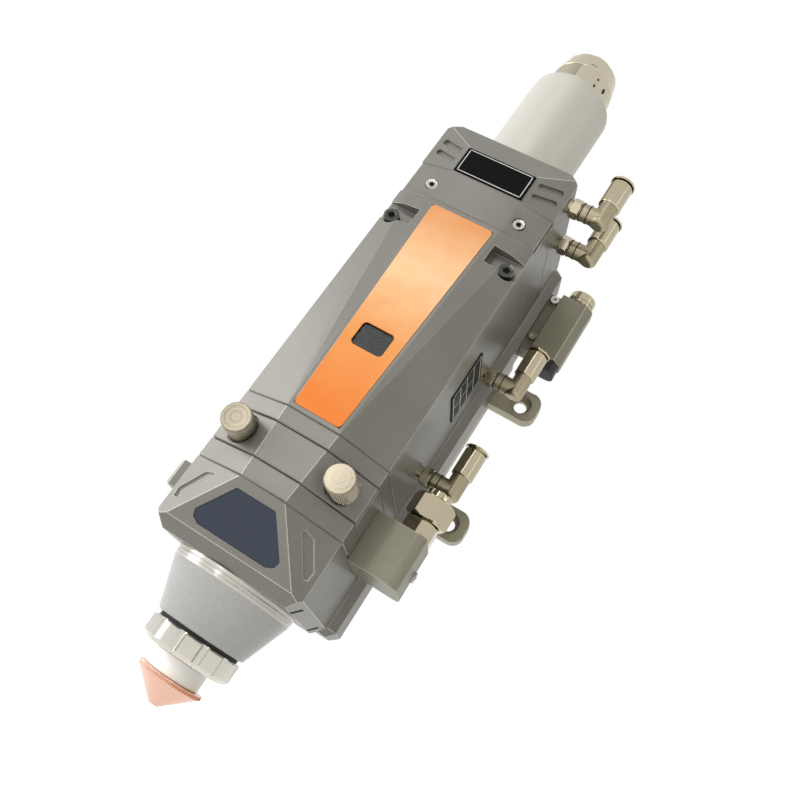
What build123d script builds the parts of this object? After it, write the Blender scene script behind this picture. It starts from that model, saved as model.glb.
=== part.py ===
"""Laser cutting head: faceted aluminium modules stacked on a rear spine, millimetres.

Frame: the origin is the centre of the four lug holes on the rear mounting face.
+Z runs up the optical axis towards the fibre, the faceted front looks along -Y,
and +X is the side that carries the air and gas fittings.
"""
from build123d import *
import math
import os

os.makedirs("parts", exist_ok=True)

# General clearances and edges
seat_gap = 0.05
running_gap = 0.08
slide_gap = 0.25
edge_break = 0.5

# Body section, measured from the optical axis
half_width = 33.5
corner_depth = 29.0
parting_depth = 25.5
module_rear = 35.6
flare = 4.0
spine_rear = 55.0
plate_thickness = 7.0
axis_y = -(spine_rear + plate_thickness)

# Stack of modules along the optical axis, from the bottom of the nose block up
block_bottom_z = -114.0
nose_block_height = 30.0
lower_band_height = 8.6
drawer_height = 16.3
upper_band_height = 7.3
cover_height = 115.2
clamp_band_height = 18.4
cap_height = 28.3
z_lower_band = block_bottom_z + nose_block_height
z_drawer = z_lower_band + lower_band_height
z_upper_band = z_drawer + drawer_height
z_cover = z_upper_band + upper_band_height
z_clamp = z_cover + cover_height
z_cap = z_clamp + clamp_band_height
z_top = z_cap + cap_height

# Front facets: depth of the middle facet at each level
depth_waist = 39.0
depth_nose_top = 39.9
depth_nose_low = 31.2
nose_low_height = 5.1
depth_top = 33.5
nose_facet_half = 10.06
top_facet_half = 16.7
inner_facet_half = 27.7
facet_slope = (depth_nose_top - corner_depth) / (half_width - nose_facet_half)

# Bores of the beam path
beam_radius = 15.0
wall_thickness = 8.0
end_wall = 6.0

# Face plate, scale window and cap plate
plate_foot_half = 10.7
plate_head_half = 15.0
plate_foot_margin = 2.2
plate_head_margin = 2.3
face_plate_thickness = 1.0
face_plate_recess = 0.7
plate_corner = 2.0
window_width = 14.6
window_height = 11.6
window_centre_up = 41.4
glass_margin = 1.6
glass_thickness = 1.5
cap_plate_width = 34.0
cap_plate_height = 14.2
cap_plate_thickness = 0.6

# Collimator and fibre receiver
tube_radius = 21.4
tube_wall = 3.0
tube_length = 60.5
shoulder_length = 10.0
shoulder_radius = 16.0
spigot_radius = 20.0
collar_radius = 16.4
collar_band = 7.0
collar_length = 19.8
collar_tip_radius = 13.4
collar_ribs = 36
fibre_bore_radius = 6.0
receiver_radius = 9.4

# Nose parts below the block
ring_height = 3.0
ring_radius = 27.2
cone_height = 21.2
cone_top_radius = 26.8
cone_low_radius = 19.6
seal_gap_height = 1.5
nut_height = 9.2
nut_radius = 19.4
nut_lands = 12
ceramic_radius = 11.4
ceramic_show = 7.4
nozzle_radius = 14.0
nozzle_rim = 1.6
nozzle_cone = 9.6
nozzle_tip_radius = 2.2
orifice_radius = 1.0
nozzle_thread_radius = 5.5
rim_teeth = 60

# Protective window drawer and its thumb screws
tray_half = 19.5
tray_thickness = 11.5
tray_reach = 24.0
drawer_glass_radius = 15.0
drawer_glass_thickness = 5.0
thumb_spread = 23.4
thumb_radius = 6.1
thumb_front = 44.9
thumb_seat = 31.9
thumb_ribs = 32
thumb_stem_radius = 2.0

# Focusing unit inside the housing
rod_spread = 21.0
rod_depth = 24.0
rod_radius = 2.5
screw_depth = 42.0
screw_radius = 2.0
motor_size = 20.0
motor_length = 28.0
motor_z = z_clamp - end_wall - motor_length - 5.4
carriage_rise = 22.8
carriage_z = z_cover + carriage_rise
carriage_height = 26.0
carriage_radius = 20.5
focus_lens_radius = 15.0
focus_lens_thickness = 4.4

# Rear lugs
lug_spacing_x = 103.0
lug_spacing_z = 72.0
lug_half = 8.2
lug_reach = 61.0
lug_corner = 6.0
lug_hole_radius = 3.3
lug_counterbore_radius = 5.5
lug_counterbore_depth = 4.5
mount_plate_height = 108.0

# Side fittings: (name, depth from the axis, height, reach of the elbow)
housing_port_rise = 78.2
drawer_port_rise = 20.2
elbow_places = [
    ("cap_front", -23.0, z_cap + 15.9, 16.0),
    ("cap_rear", -1.0, z_cap + 11.5, 16.9),
    ("housing", 22.6, z_cover + housing_port_rise, 17.1),
    ("drawer", 21.6, z_cover + drawer_port_rise, 17.0),
]
hex_flat = 8.0
hex_length = 4.6
fitting_neck_radius = 3.4
fitting_neck_length = 1.5
sleeve_radius = 5.15
sleeve_low = 7.5
sleeve_top = 20.6
collet_travel = 0.8
collet_ring_height = 1.1
collet_radius = 4.0
collet_flange_radius = 5.7
tube_port_radius = 3.05

# Gas block and inlet
gas_block_width = 22.6
gas_block_front = -6.0
gas_block_rear = 22.0
gas_block_low = z_lower_band - 0.9
gas_block_height = 23.7
gas_block_high = gas_block_low + gas_block_height
gas_port_x = 48.8
gas_port_depth = 10.6
gas_hex_small = 14.0
gas_hex_large = 17.0
gas_tube_radius = 4.05

# Drive connector on the spine's side
connector_drop = 16.1
connector_high = z_top - connector_drop
connector_height = 36.3
connector_low = connector_high - connector_height
connector_reach = 22.7
connector_front = 38.5
connector_step = 43.0
connector_rear = 52.0
connector_foot = 5.5
connector_front_corner = 4.0
connector_rear_corner = 3.0
connector_cap_radius = 7.0
connector_cap_height = 7.0
connector_cap_chamfer = 1.2
gland_width = 15.0
gland_depth = 10.5
gland_height = 6.0
gland_corner = 3.5

spine_half = half_width + flare


def level(z):
    """Horizontal plane at height z with its origin on the optical axis."""
    return Plane(origin=(0, axis_y, z), x_dir=(1, 0, 0), z_dir=(0, 0, 1))


def upright():
    """Plane through the optical axis: x across, y up. Round parts are revolved from it."""
    return Plane(origin=(0, axis_y, 0), x_dir=(1, 0, 0), z_dir=(0, -1, 0))


optical_axis = Axis((0, axis_y, 0), (0, 0, 1))


def facing_front(depth):
    """Plane parallel to the front, depth in front of the optical axis, x across and y up."""
    return Plane(origin=(0, axis_y - depth, 0), x_dir=(1, 0, 0), z_dir=(0, -1, 0))


def facet_half(depth):
    """Half the width of the middle facet where it lies at this depth."""
    return half_width - (depth - corner_depth) / facet_slope


def tilted(depth_low, z_low, depth_high, z_high):
    """Plane of a middle facet that runs from one depth and height to another, facing out."""
    run = depth_low - depth_high
    rise = z_high - z_low
    return Plane(
        origin=(0, axis_y - depth_low, z_low), x_dir=(1, 0, 0), z_dir=(0, -rise, run)
    )


def facet_points(depth, rear):
    """Module section: three front facets, straight sides and a flat rear."""
    middle = facet_half(depth)
    return [
        (-half_width, rear),
        (-half_width, -corner_depth),
        (-middle, -depth),
        (middle, -depth),
        (half_width, -corner_depth),
        (half_width, rear),
    ]


def lower_depth(z):
    """Depth of the middle facet over the lower modules, between nose block and cover."""
    share = (z - z_lower_band) / (z_cover - z_lower_band)
    return depth_nose_top + share * (depth_waist - depth_nose_top)


def facet_plane(side):
    """Plane of a side facet, side -1 or 1: x runs across it to the right and y up."""
    return Plane(
        origin=(side * half_width, axis_y - corner_depth, 0),
        x_dir=(1, side * facet_slope, 0),
        z_dir=(side * facet_slope, -1, 0),
    )


def on_facet(side, x, z):
    """Point of the facet plane that lies x from the middle of the front."""
    return (side * (x - half_width) * math.hypot(1, facet_slope), z)


def end_edges(part, end):
    """Outer edges of a module's bottom face (end 0) or top face (end -1), front to rear."""
    return part.faces().sort_by(Axis.Z)[end].outer_wire().edges().sort_by(Axis.Y)


def rounded_ring(outer, inner, low, high, breaks):
    """Half section of a ring with both outer corners broken, for revolving."""
    return [
        (inner, low),
        (outer - breaks, low),
        (outer, low + breaks),
        (outer, high - breaks),
        (outer - breaks, high),
        (inner, high),
    ]


def ribbed(outer, inner, count):
    """Points of a knurled rim: a circle with this many pointed teeth."""
    points = []
    for step in range(2 * count):
        radius = outer if step % 2 == 0 else inner
        angle = math.pi * step / count
        points.append((radius * math.cos(angle), radius * math.sin(angle)))
    return points


def dome_rise(radius, bulge, x):
    """Rise of a lens dome above its own edge, x away from the axis."""
    sphere = (radius**2 + bulge**2) / (2 * bulge)
    return math.sqrt(sphere**2 - x**2) - (sphere - bulge)


def lens_section(radius, seat, edge, bulge):
    """Half section of a lens, flat below and domed above: its straight sides and its arc."""
    half_way = dome_rise(radius, bulge, radius / 2)
    flat = [(0, seat + edge + bulge), (0, seat), (radius, seat), (radius, seat + edge)]
    dome = [(radius, seat + edge), (radius / 2, seat + edge + half_way), (0, seat + edge + bulge)]
    return flat, dome


# Spine: the long rear chassis that every module is bolted to
spine_top = z_top - 3.5
spine_bottom = block_bottom_z + 2.5
spine_chamfer = 3.5
pocket_low = z_cover + end_wall
pocket_high = motor_z + motor_length
pocket_rear = screw_depth + motor_size / 2
bearing_depth = 3.0
with BuildPart() as spine:
    with BuildSketch(level(spine_bottom)):
        Polygon(
            (-half_width, module_rear),
            (half_width, module_rear),
            (spine_half, module_rear + flare),
            (spine_half, spine_rear),
            (-spine_half, spine_rear),
            (-spine_half, module_rear + flare),
            align=None,
        )
    extrude(amount=spine_top - spine_bottom)
    chamfer(end_edges(spine, 0)[1:], spine_chamfer)
    chamfer(end_edges(spine, -1)[1:], spine_chamfer)
    with BuildSketch(facing_front(-module_rear)):
        with Locations((0, (pocket_low + pocket_high) / 2)):
            Rectangle(motor_size + 2 * running_gap, pocket_high - pocket_low)
    extrude(amount=-(pocket_rear - module_rear), mode=Mode.SUBTRACT)
    with Locations(level(pocket_low)):
        with Locations((0, screw_depth)):
            Hole(screw_radius + running_gap, bearing_depth)
spine.part.label = "spine"
export_step(spine.part, "parts/spine.step")

# Mounting plate with four counterbored lugs
lug_front = Plane(origin=(0, -plate_thickness, 0), x_dir=(1, 0, 0), z_dir=(0, -1, 0))
with BuildPart() as mounting_plate:
    with BuildSketch(lug_front):
        Rectangle(2 * spine_half, mount_plate_height)
        with GridLocations(0, lug_spacing_z, 1, 2):
            RectangleRounded(2 * lug_reach, 2 * lug_half, lug_corner)
    extrude(amount=-plate_thickness)
    with Locations(lug_front):
        with GridLocations(lug_spacing_x, lug_spacing_z, 2, 2):
            CounterBoreHole(lug_hole_radius, lug_counterbore_radius, lug_counterbore_depth)
mounting_plate.part.label = "mounting_plate"
export_step(mounting_plate.part, "parts/mounting_plate.step")

# Main housing: open to the front cover and to the pocket in the spine
port_depth = 3.0
cover_screw_x = 28.5
cover_screw_drop = 15.1
cover_screw_z = z_clamp - cover_screw_drop
cover_screw_radius = 2.0
cover_screw_length = 12.0
pocket_floor = 28.0
with BuildPart() as main_housing:
    with BuildSketch(level(z_cover)):
        Polygon(
            (-half_width, -parting_depth),
            (half_width, -parting_depth),
            (half_width, module_rear),
            (-half_width, module_rear),
            align=None,
        )
    extrude(amount=cover_height)
    with BuildSketch(level(z_cover + end_wall)):
        Polygon(
            (wall_thickness - half_width, -parting_depth),
            (half_width - wall_thickness, -parting_depth),
            (half_width - wall_thickness, module_rear),
            (wall_thickness - half_width, module_rear),
            align=None,
        )
    extrude(amount=cover_height - 2 * end_wall, mode=Mode.SUBTRACT)
    with Locations(level(z_clamp)):
        Hole(beam_radius)
    with BuildSketch(level(z_cover + end_wall - bearing_depth)):
        with Locations((-rod_spread, rod_depth), (rod_spread, rod_depth)):
            Circle(rod_radius + seat_gap)
    extrude(amount=cover_height - 2 * end_wall + 2 * bearing_depth, mode=Mode.SUBTRACT)
    with Locations(facing_front(parting_depth)):
        with Locations((-cover_screw_x, cover_screw_z), (cover_screw_x, cover_screw_z)):
            Hole(cover_screw_radius + seat_gap, cover_screw_length - pocket_floor + parting_depth + 1.0)
    for name, depth, height, reach in elbow_places:
        if z_cover < height < z_clamp:
            port = Plane(origin=(half_width, axis_y + depth, height), x_dir=(0, 1, 0), z_dir=(1, 0, 0))
            with Locations(port):
                Hole(fitting_neck_radius + seat_gap, port_depth)
main_housing.part.label = "main_housing"
export_step(main_housing.part, "parts/main_housing.step")

# Front cover: faceted lid with a tilted middle facet, inner facets and two screw pockets
pocket_top_drop = 7.6
pocket_height = 9.4
pocket_high_z = z_clamp - pocket_top_drop
pocket_low_z = pocket_high_z - pocket_height
pocket_inner_x = 18.5
screw_head_radius = 3.5
screw_head_height = 4.0
screw_head_clear = 0.8
cover_hollow_depth = 3.0
cover_hollow_top = pocket_low_z - 4.0
face_plane = tilted(depth_waist, z_cover, depth_top, z_clamp)
face_length = math.hypot(cover_height, depth_waist - depth_top)
waist_half = facet_half(depth_waist)
inner_depth = corner_depth + (half_width - inner_facet_half) * facet_slope
plate_points = [
    (-plate_foot_half, plate_foot_margin),
    (plate_foot_half, plate_foot_margin),
    (plate_head_half, face_length - plate_head_margin),
    (-plate_head_half, face_length - plate_head_margin),
]
with BuildPart() as front_cover:
    with BuildSketch(level(z_cover)):
        Polygon(*facet_points(depth_waist, -parting_depth), align=None)
    extrude(amount=cover_height)
    split(bisect_by=face_plane, keep=Keep.BOTTOM)
    for side in (-1, 1):
        foot = Vector(side * waist_half, axis_y - depth_waist, z_cover)
        inner = Vector(side * top_facet_half, axis_y - depth_top, z_clamp)
        outer = Vector(side * inner_facet_half, axis_y - inner_depth, z_clamp)
        normal = (outer - foot).cross(inner - foot) * side
        split(bisect_by=Plane(origin=foot, z_dir=normal), keep=Keep.BOTTOM)
    chamfer(end_edges(front_cover, 0)[:-1], edge_break)
    with BuildSketch(facing_front(pocket_floor)):
        with Locations((0, (pocket_low_z + pocket_high_z) / 2)):
            Rectangle(2 * half_width, pocket_high_z - pocket_low_z)
            Rectangle(2 * pocket_inner_x, pocket_high_z - pocket_low_z, mode=Mode.SUBTRACT)
        with Locations((-cover_screw_x, cover_screw_z), (cover_screw_x, cover_screw_z)):
            Circle(screw_head_radius + screw_head_clear)
    extrude(amount=depth_waist, mode=Mode.SUBTRACT)
    with Locations(facing_front(pocket_floor)):
        with Locations((-cover_screw_x, cover_screw_z), (cover_screw_x, cover_screw_z)):
            Hole(cover_screw_radius + seat_gap, pocket_floor - parting_depth)
    with BuildSketch(facing_front(parting_depth)):
        with Locations((0, (z_cover + end_wall + cover_hollow_top) / 2)):
            Rectangle(2 * (half_width - wall_thickness), cover_hollow_top - z_cover - end_wall)
    extrude(amount=cover_hollow_depth, mode=Mode.SUBTRACT)
    with BuildSketch(face_plane):
        Polygon(*plate_points, align=None)
        offset(amount=seat_gap)
    extrude(amount=-face_plate_recess, mode=Mode.SUBTRACT)
    with BuildSketch(face_plane.offset(-face_plate_recess)):
        with Locations((0, window_centre_up)):
            Rectangle(window_width + 2 * glass_margin, window_height + 2 * glass_margin)
    extrude(amount=-glass_thickness, mode=Mode.SUBTRACT)
    with BuildSketch(face_plane):
        with Locations((0, window_centre_up)):
            Rectangle(window_width, window_height)
    extrude(amount=-depth_waist + parting_depth, mode=Mode.SUBTRACT)
front_cover.part.label = "front_cover"
export_step(front_cover.part, "parts/front_cover.step")

# Face plate: thin tapered plate let into the middle facet, with the scale window
with BuildPart() as face_plate:
    with BuildSketch(face_plane.offset(-face_plate_recess)) as face_outline:
        Polygon(*plate_points, align=None)
        fillet(face_outline.vertices(), plate_corner)
        with Locations((0, window_centre_up)):
            RectangleRounded(window_width, window_height, plate_corner, mode=Mode.SUBTRACT)
    extrude(amount=face_plate_thickness)
face_plate.part.label = "face_plate"
export_step(face_plate.part, "parts/face_plate.step")

# Scale window: clear pane held under the face plate
with BuildPart() as scale_window:
    with BuildSketch(face_plane.offset(-face_plate_recess - glass_thickness)):
        with Locations((0, window_centre_up)):
            Rectangle(
                window_width + 2 * glass_margin - 2 * seat_gap,
                window_height + 2 * glass_margin - 2 * seat_gap,
            )
    extrude(amount=glass_thickness - seat_gap)
scale_window.part.label = "scale_window"
export_step(scale_window.part, "parts/scale_window.step")

# Guide rods of the focusing carriage
with BuildPart() as guide_rods:
    with BuildSketch(level(z_cover + end_wall - bearing_depth + seat_gap)):
        with Locations((-rod_spread, rod_depth), (rod_spread, rod_depth)):
            Circle(rod_radius)
    extrude(amount=cover_height - 2 * end_wall + 2 * bearing_depth - 2 * seat_gap)
guide_rods.part.label = "guide_rods"
export_step(guide_rods.part, "parts/guide_rods.step")

# Focusing carriage: lens barrel, rear web on the two rods, nut boss on the lead screw
web_front = 15.0
web_rear = 30.0
web_half = 25.2
nut_half = 8.0
nut_rear = 50.0
lens_seat_z = carriage_z + 10.0
with BuildPart() as focus_carriage:
    with BuildSketch(level(carriage_z)):
        Circle(carriage_radius)
        with Locations((0, (web_front + web_rear) / 2)):
            Rectangle(2 * web_half, web_rear - web_front)
        with Locations((0, (web_rear + nut_rear) / 2)):
            Rectangle(2 * nut_half, nut_rear - web_rear)
    extrude(amount=carriage_height)
    with Locations(level(carriage_z + carriage_height)):
        Hole(focus_lens_radius - 2.0)
        with Locations((-rod_spread, rod_depth), (rod_spread, rod_depth)):
            Hole(rod_radius + running_gap)
        with Locations((0, screw_depth)):
            Hole(screw_radius + running_gap)
    with BuildSketch(level(lens_seat_z)):
        Circle(focus_lens_radius + seat_gap)
    extrude(amount=carriage_z + carriage_height - lens_seat_z, mode=Mode.SUBTRACT)
focus_carriage.part.label = "focus_carriage"
export_step(focus_carriage.part, "parts/focus_carriage.step")

# Focusing lens, flat below and domed above
lens_edge = 2.4
lens_bulge = focus_lens_thickness - lens_edge
lens_flat, lens_dome = lens_section(focus_lens_radius, lens_seat_z, lens_edge, lens_bulge)
with BuildPart() as focusing_lens:
    with BuildSketch(upright()):
        with BuildLine():
            Polyline(*lens_flat)
            ThreePointArc(*lens_dome)
        make_face()
    revolve(axis=optical_axis)
focusing_lens.part.label = "focusing_lens"
export_step(focusing_lens.part, "parts/focusing_lens.step")

# Threaded ring that holds the focusing lens on its seat
retainer_wall = 1.6
retainer_height = 4.0
lens_lip_rise = dome_rise(focus_lens_radius, lens_bulge, focus_lens_radius - retainer_wall)
with BuildPart() as focus_retainer:
    with BuildSketch(level(lens_seat_z + lens_edge + lens_lip_rise)):
        Circle(focus_lens_radius)
        Circle(focus_lens_radius - retainer_wall, mode=Mode.SUBTRACT)
    extrude(amount=retainer_height)
focus_retainer.part.label = "focus_retainer"
export_step(focus_retainer.part, "parts/focus_retainer.step")

# Scale pointer on the carriage, seen through the window
pointer_half = 4.5
pointer_height = 9.0
pointer_reach = 4.5
pointer_x = 3.0
pointer_rise = 11.2
pointer_z = carriage_z + pointer_rise
with BuildPart() as scale_pointer:
    with BuildSketch(level(pointer_z)):
        with Locations((pointer_x, -carriage_radius - pointer_reach / 2)):
            Rectangle(2 * pointer_half, pointer_reach)
        Circle(carriage_radius, mode=Mode.SUBTRACT)
    extrude(amount=pointer_height)
    fillet(scale_pointer.edges().filter_by(Axis.Y).sort_by(Axis.Z)[-2:], 3.0)
scale_pointer.part.label = "scale_pointer"
export_step(scale_pointer.part, "parts/scale_pointer.step")

# Focus motor in the pocket of the spine
with BuildPart() as focus_motor:
    with BuildSketch(level(motor_z)):
        with Locations((0, screw_depth)):
            RectangleRounded(motor_size, motor_size, 2.0)
    extrude(amount=motor_length)
    with Locations(level(motor_z)):
        with Locations((0, screw_depth)):
            Hole(screw_radius + running_gap, bearing_depth)
focus_motor.part.label = "focus_motor"
export_step(focus_motor.part, "parts/focus_motor.step")

# Lead screw between the motor and its bearing hole
with BuildPart() as lead_screw:
    with BuildSketch(level(pocket_low - bearing_depth + seat_gap)):
        with Locations((0, screw_depth)):
            Circle(screw_radius)
    extrude(amount=motor_z - pocket_low + 2 * bearing_depth - 2 * seat_gap)
lead_screw.part.label = "lead_screw"
export_step(lead_screw.part, "parts/lead_screw.step")

# Upper band between the cover and the drawer
with BuildPart() as upper_band:
    with BuildSketch(level(z_upper_band)):
        Polygon(*facet_points(lower_depth(z_upper_band), module_rear), align=None)
    with BuildSketch(level(z_cover)):
        Polygon(*facet_points(depth_waist, module_rear), align=None)
    loft(ruled=True)
    chamfer(end_edges(upper_band, 0)[:-1], edge_break)
    chamfer(end_edges(upper_band, -1)[:-1], edge_break)
    with Locations(level(z_cover)):
        Hole(beam_radius)
upper_band.part.label = "upper_band"
export_step(upper_band.part, "parts/upper_band.step")

# Drawer frame: block with a slot that the window drawer slides into from the front
drawer_middle = z_drawer + drawer_height / 2
frame_front = parting_depth - 0.3
drawer_stop = 0.3
thumb_hole_radius = thumb_stem_radius + 0.3
thumb_stem_length = 12.0
with BuildPart() as drawer_frame:
    with BuildSketch(level(z_drawer)):
        Polygon(
            (-half_width, -frame_front),
            (half_width, -frame_front),
            (half_width, module_rear),
            (-half_width, module_rear),
            align=None,
        )
    extrude(amount=drawer_height)
    with BuildSketch(facing_front(frame_front)):
        with Locations((0, drawer_middle)):
            Rectangle(2 * (tray_half + slide_gap), tray_thickness + 2 * slide_gap)
    extrude(amount=-(frame_front + tray_reach + drawer_stop), mode=Mode.SUBTRACT)
    with Locations(level(z_upper_band)):
        Hole(drawer_glass_radius - 2.0)
    with Locations(facing_front(frame_front)):
        with Locations((-thumb_spread, drawer_middle), (thumb_spread, drawer_middle)):
            Hole(thumb_hole_radius, thumb_stem_length)
drawer_frame.part.label = "drawer_frame"
export_step(drawer_frame.part, "parts/drawer_frame.step")

# Window drawer: faceted front with two screw seats, flat tray with the glass seat behind it
seal_height = 1.2
glass_ledge = 2.5
tray_low = drawer_middle - tray_thickness / 2
thumb_seat_radius = thumb_radius + 0.8
with BuildPart() as window_drawer:
    with BuildSketch(level(z_drawer + slide_gap)):
        Polygon(*facet_points(lower_depth(z_drawer), -parting_depth), align=None)
    with BuildSketch(level(z_upper_band - slide_gap)):
        Polygon(*facet_points(lower_depth(z_upper_band), -parting_depth), align=None)
    loft(ruled=True)
    chamfer(end_edges(window_drawer, 0)[:-1], edge_break)
    chamfer(end_edges(window_drawer, -1)[:-1], edge_break)
    with BuildSketch(level(tray_low)):
        Polygon(
            (-tray_half, -parting_depth),
            (tray_half, -parting_depth),
            (tray_half, tray_reach),
            (-tray_half, tray_reach),
            align=None,
        )
    extrude(amount=tray_thickness)
    with Locations(level(tray_low + tray_thickness)):
        CounterBoreHole(
            drawer_glass_radius - 2.0, drawer_glass_radius + seat_gap, tray_thickness - glass_ledge
        )
    with Locations(facing_front(depth_waist)):
        with Locations((-thumb_spread, drawer_middle), (thumb_spread, drawer_middle)):
            CounterBoreHole(
                thumb_stem_radius + running_gap, thumb_seat_radius, depth_waist - thumb_seat + 0.3,
                depth=depth_waist - parting_depth,
            )
window_drawer.part.label = "window_drawer"
export_step(window_drawer.part, "parts/window_drawer.step")

# Protective window and its seal ring in the drawer
with BuildPart() as drawer_glass:
    with BuildSketch(level(tray_low + glass_ledge)):
        Circle(drawer_glass_radius)
    extrude(amount=drawer_glass_thickness)
drawer_glass.part.label = "drawer_glass"
export_step(drawer_glass.part, "parts/drawer_glass.step")
with BuildPart() as drawer_seal:
    with BuildSketch(level(tray_low + glass_ledge + drawer_glass_thickness)):
        Circle(drawer_glass_radius)
        Circle(drawer_glass_radius - 2.0, mode=Mode.SUBTRACT)
    extrude(amount=seal_height)
drawer_seal.part.label = "drawer_seal"
export_step(drawer_seal.part, "parts/drawer_seal.step")

# Knurled thumb screws that hold the drawer shut
thumb_groove = 0.35
thumb_cap = 0.6
for side, label in ((-1, "thumb_screw_left"), (1, "thumb_screw_right")):
    centre = (side * thumb_spread, drawer_middle)
    with BuildPart() as thumb_screw:
        with BuildSketch(facing_front(thumb_seat)):
            with Locations(centre):
                Polygon(*ribbed(thumb_radius, thumb_radius - thumb_groove, thumb_ribs), align=None)
        extrude(amount=thumb_front - thumb_cap - thumb_seat)
        with BuildSketch(facing_front(thumb_front - thumb_cap)):
            with Locations(centre):
                Circle(thumb_radius)
        extrude(amount=thumb_cap, taper=30)
        with BuildSketch(facing_front(thumb_seat)):
            with Locations(centre):
                Circle(thumb_stem_radius)
        extrude(amount=-(thumb_seat - parting_depth + thumb_stem_length - 1.0))
    thumb_screw.part.label = label
    export_step(thumb_screw.part, f"parts/{label}.step")

# Lower band under the drawer
with BuildPart() as lower_band:
    with BuildSketch(level(z_lower_band)):
        Polygon(*facet_points(depth_nose_top, module_rear), align=None)
    with BuildSketch(level(z_drawer)):
        Polygon(*facet_points(lower_depth(z_drawer), module_rear), align=None)
    loft(ruled=True)
    chamfer(end_edges(lower_band, 0)[:-1], edge_break)
    chamfer(end_edges(lower_band, -1)[:-1], edge_break)
    with Locations(level(z_drawer)):
        Hole(drawer_glass_radius - 2.0)
lower_band.part.label = "lower_band"
export_step(lower_band.part, "parts/lower_band.step")

# Nose block: flared middle facet with the display recess, side grooves, vents in its low chamfers
nose_low_z = block_bottom_z + nose_low_height
nose_plane = tilted(depth_nose_low, nose_low_z, depth_nose_top, z_lower_band)
nose_slant = math.hypot(z_lower_band - nose_low_z, depth_nose_top - depth_nose_low)
display_points = [
    (-8.8, nose_slant - 4.6),
    (8.8, nose_slant - 4.6),
    (19.4, 7.0),
    (18.6, 4.2),
    (15.6, 2.6),
    (-15.6, 2.6),
    (-18.6, 4.2),
    (-19.4, 7.0),
]
display_recess = 1.0
display_thickness = 0.7
display_corner = 1.2
groove_corners = [(20.6, 24.5), (21.0, 26.3), (25.0, 25.2), (31.3, 15.4), (30.9, 11.8), (29.4, 11.6)]
groove_depth = 0.9
vent_places = (-15.0, 27.0)
vent_length = 4.6
vent_width = 1.4
vent_offset = 1.0
vent_depth = 1.5
with BuildPart() as nose_block:
    with BuildSketch(level(block_bottom_z)):
        Polygon(*facet_points(depth_nose_top, module_rear), align=None)
    extrude(amount=nose_block_height)
    chamfer(end_edges(nose_block, -1)[:-1], edge_break)
    split(bisect_by=nose_plane, keep=Keep.BOTTOM)
    split(
        bisect_by=tilted(depth_nose_low - nose_low_height, block_bottom_z, depth_nose_low, nose_low_z),
        keep=Keep.BOTTOM,
    )
    for side in (-1, 1):
        slope = Plane(origin=(side * half_width, 0, nose_low_z), z_dir=(side, 0, -1))
        split(bisect_by=slope, keep=Keep.BOTTOM)
        with BuildSketch(facet_plane(side)):
            Polygon(
                *[on_facet(side, x, block_bottom_z + up) for x, up in groove_corners], align=None
            )
        extrude(amount=-groove_depth, mode=Mode.SUBTRACT)
        vent_face = Plane(
            origin=(side * (half_width - nose_low_height / 2), axis_y, nose_low_z - nose_low_height / 2),
            x_dir=(0, 1, 0),
            z_dir=(side, 0, -1),
        )
        with BuildSketch(vent_face):
            with Locations(*[(depth, -side * vent_offset) for depth in vent_places]):
                SlotOverall(vent_length, vent_width, rotation=90)
        extrude(amount=-vent_depth, mode=Mode.SUBTRACT)
    with BuildSketch(nose_plane) as display_outline:
        Polygon(*display_points, align=None)
        fillet(display_outline.vertices(), display_corner)
    extrude(amount=-display_recess, mode=Mode.SUBTRACT)
    with Locations(level(z_lower_band)):
        Hole(beam_radius - 2.0)
nose_block.part.label = "nose_block"
export_step(nose_block.part, "parts/nose_block.step")

# Display panel, a dark pane in the recess of the nose block
with BuildPart() as display_panel:
    with BuildSketch(nose_plane.offset(-display_recess)) as panel_outline:
        Polygon(*display_points, align=None)
        fillet(panel_outline.vertices(), display_corner)
        offset(amount=-0.15)
    extrude(amount=display_thickness)
display_panel.part.label = "display_panel"
export_step(display_panel.part, "parts/display_panel.step")

# Front band with two screws that clamps the collimator, standing clear of the side walls
band_rear = 27.0
band_side_gap = 0.6
band_screw_x = 21.8
band_screw_z = z_clamp + 7.8
band_screw_radius = 2.6
band_screw_stem = 1.5
band_screw_head = 2.6
band_screw_floor = 29.5
band_screw_clear = 0.4
top_points = [
    (-half_width, -corner_depth),
    (-top_facet_half, -depth_top),
    (top_facet_half, -depth_top),
    (half_width, -corner_depth),
]
with BuildPart() as clamp_band:
    with BuildSketch(level(z_clamp)):
        Polygon(
            (-half_width + band_side_gap, -band_rear),
            (-half_width + band_side_gap, -corner_depth),
            *top_points[1:3],
            (half_width - band_side_gap, -corner_depth),
            (half_width - band_side_gap, -band_rear),
            align=None,
        )
    extrude(amount=clamp_band_height)
    chamfer(end_edges(clamp_band, 0)[:-1], edge_break)
    chamfer(end_edges(clamp_band, -1)[:-1], edge_break)
    with Locations(facing_front(depth_top)):
        with Locations((-band_screw_x, band_screw_z), (band_screw_x, band_screw_z)):
            CounterBoreHole(
                band_screw_stem + seat_gap, band_screw_radius + band_screw_clear,
                depth_top - band_screw_floor, depth=depth_top - band_rear,
            )
clamp_band.part.label = "clamp_band"
export_step(clamp_band.part, "parts/clamp_band.step")

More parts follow.
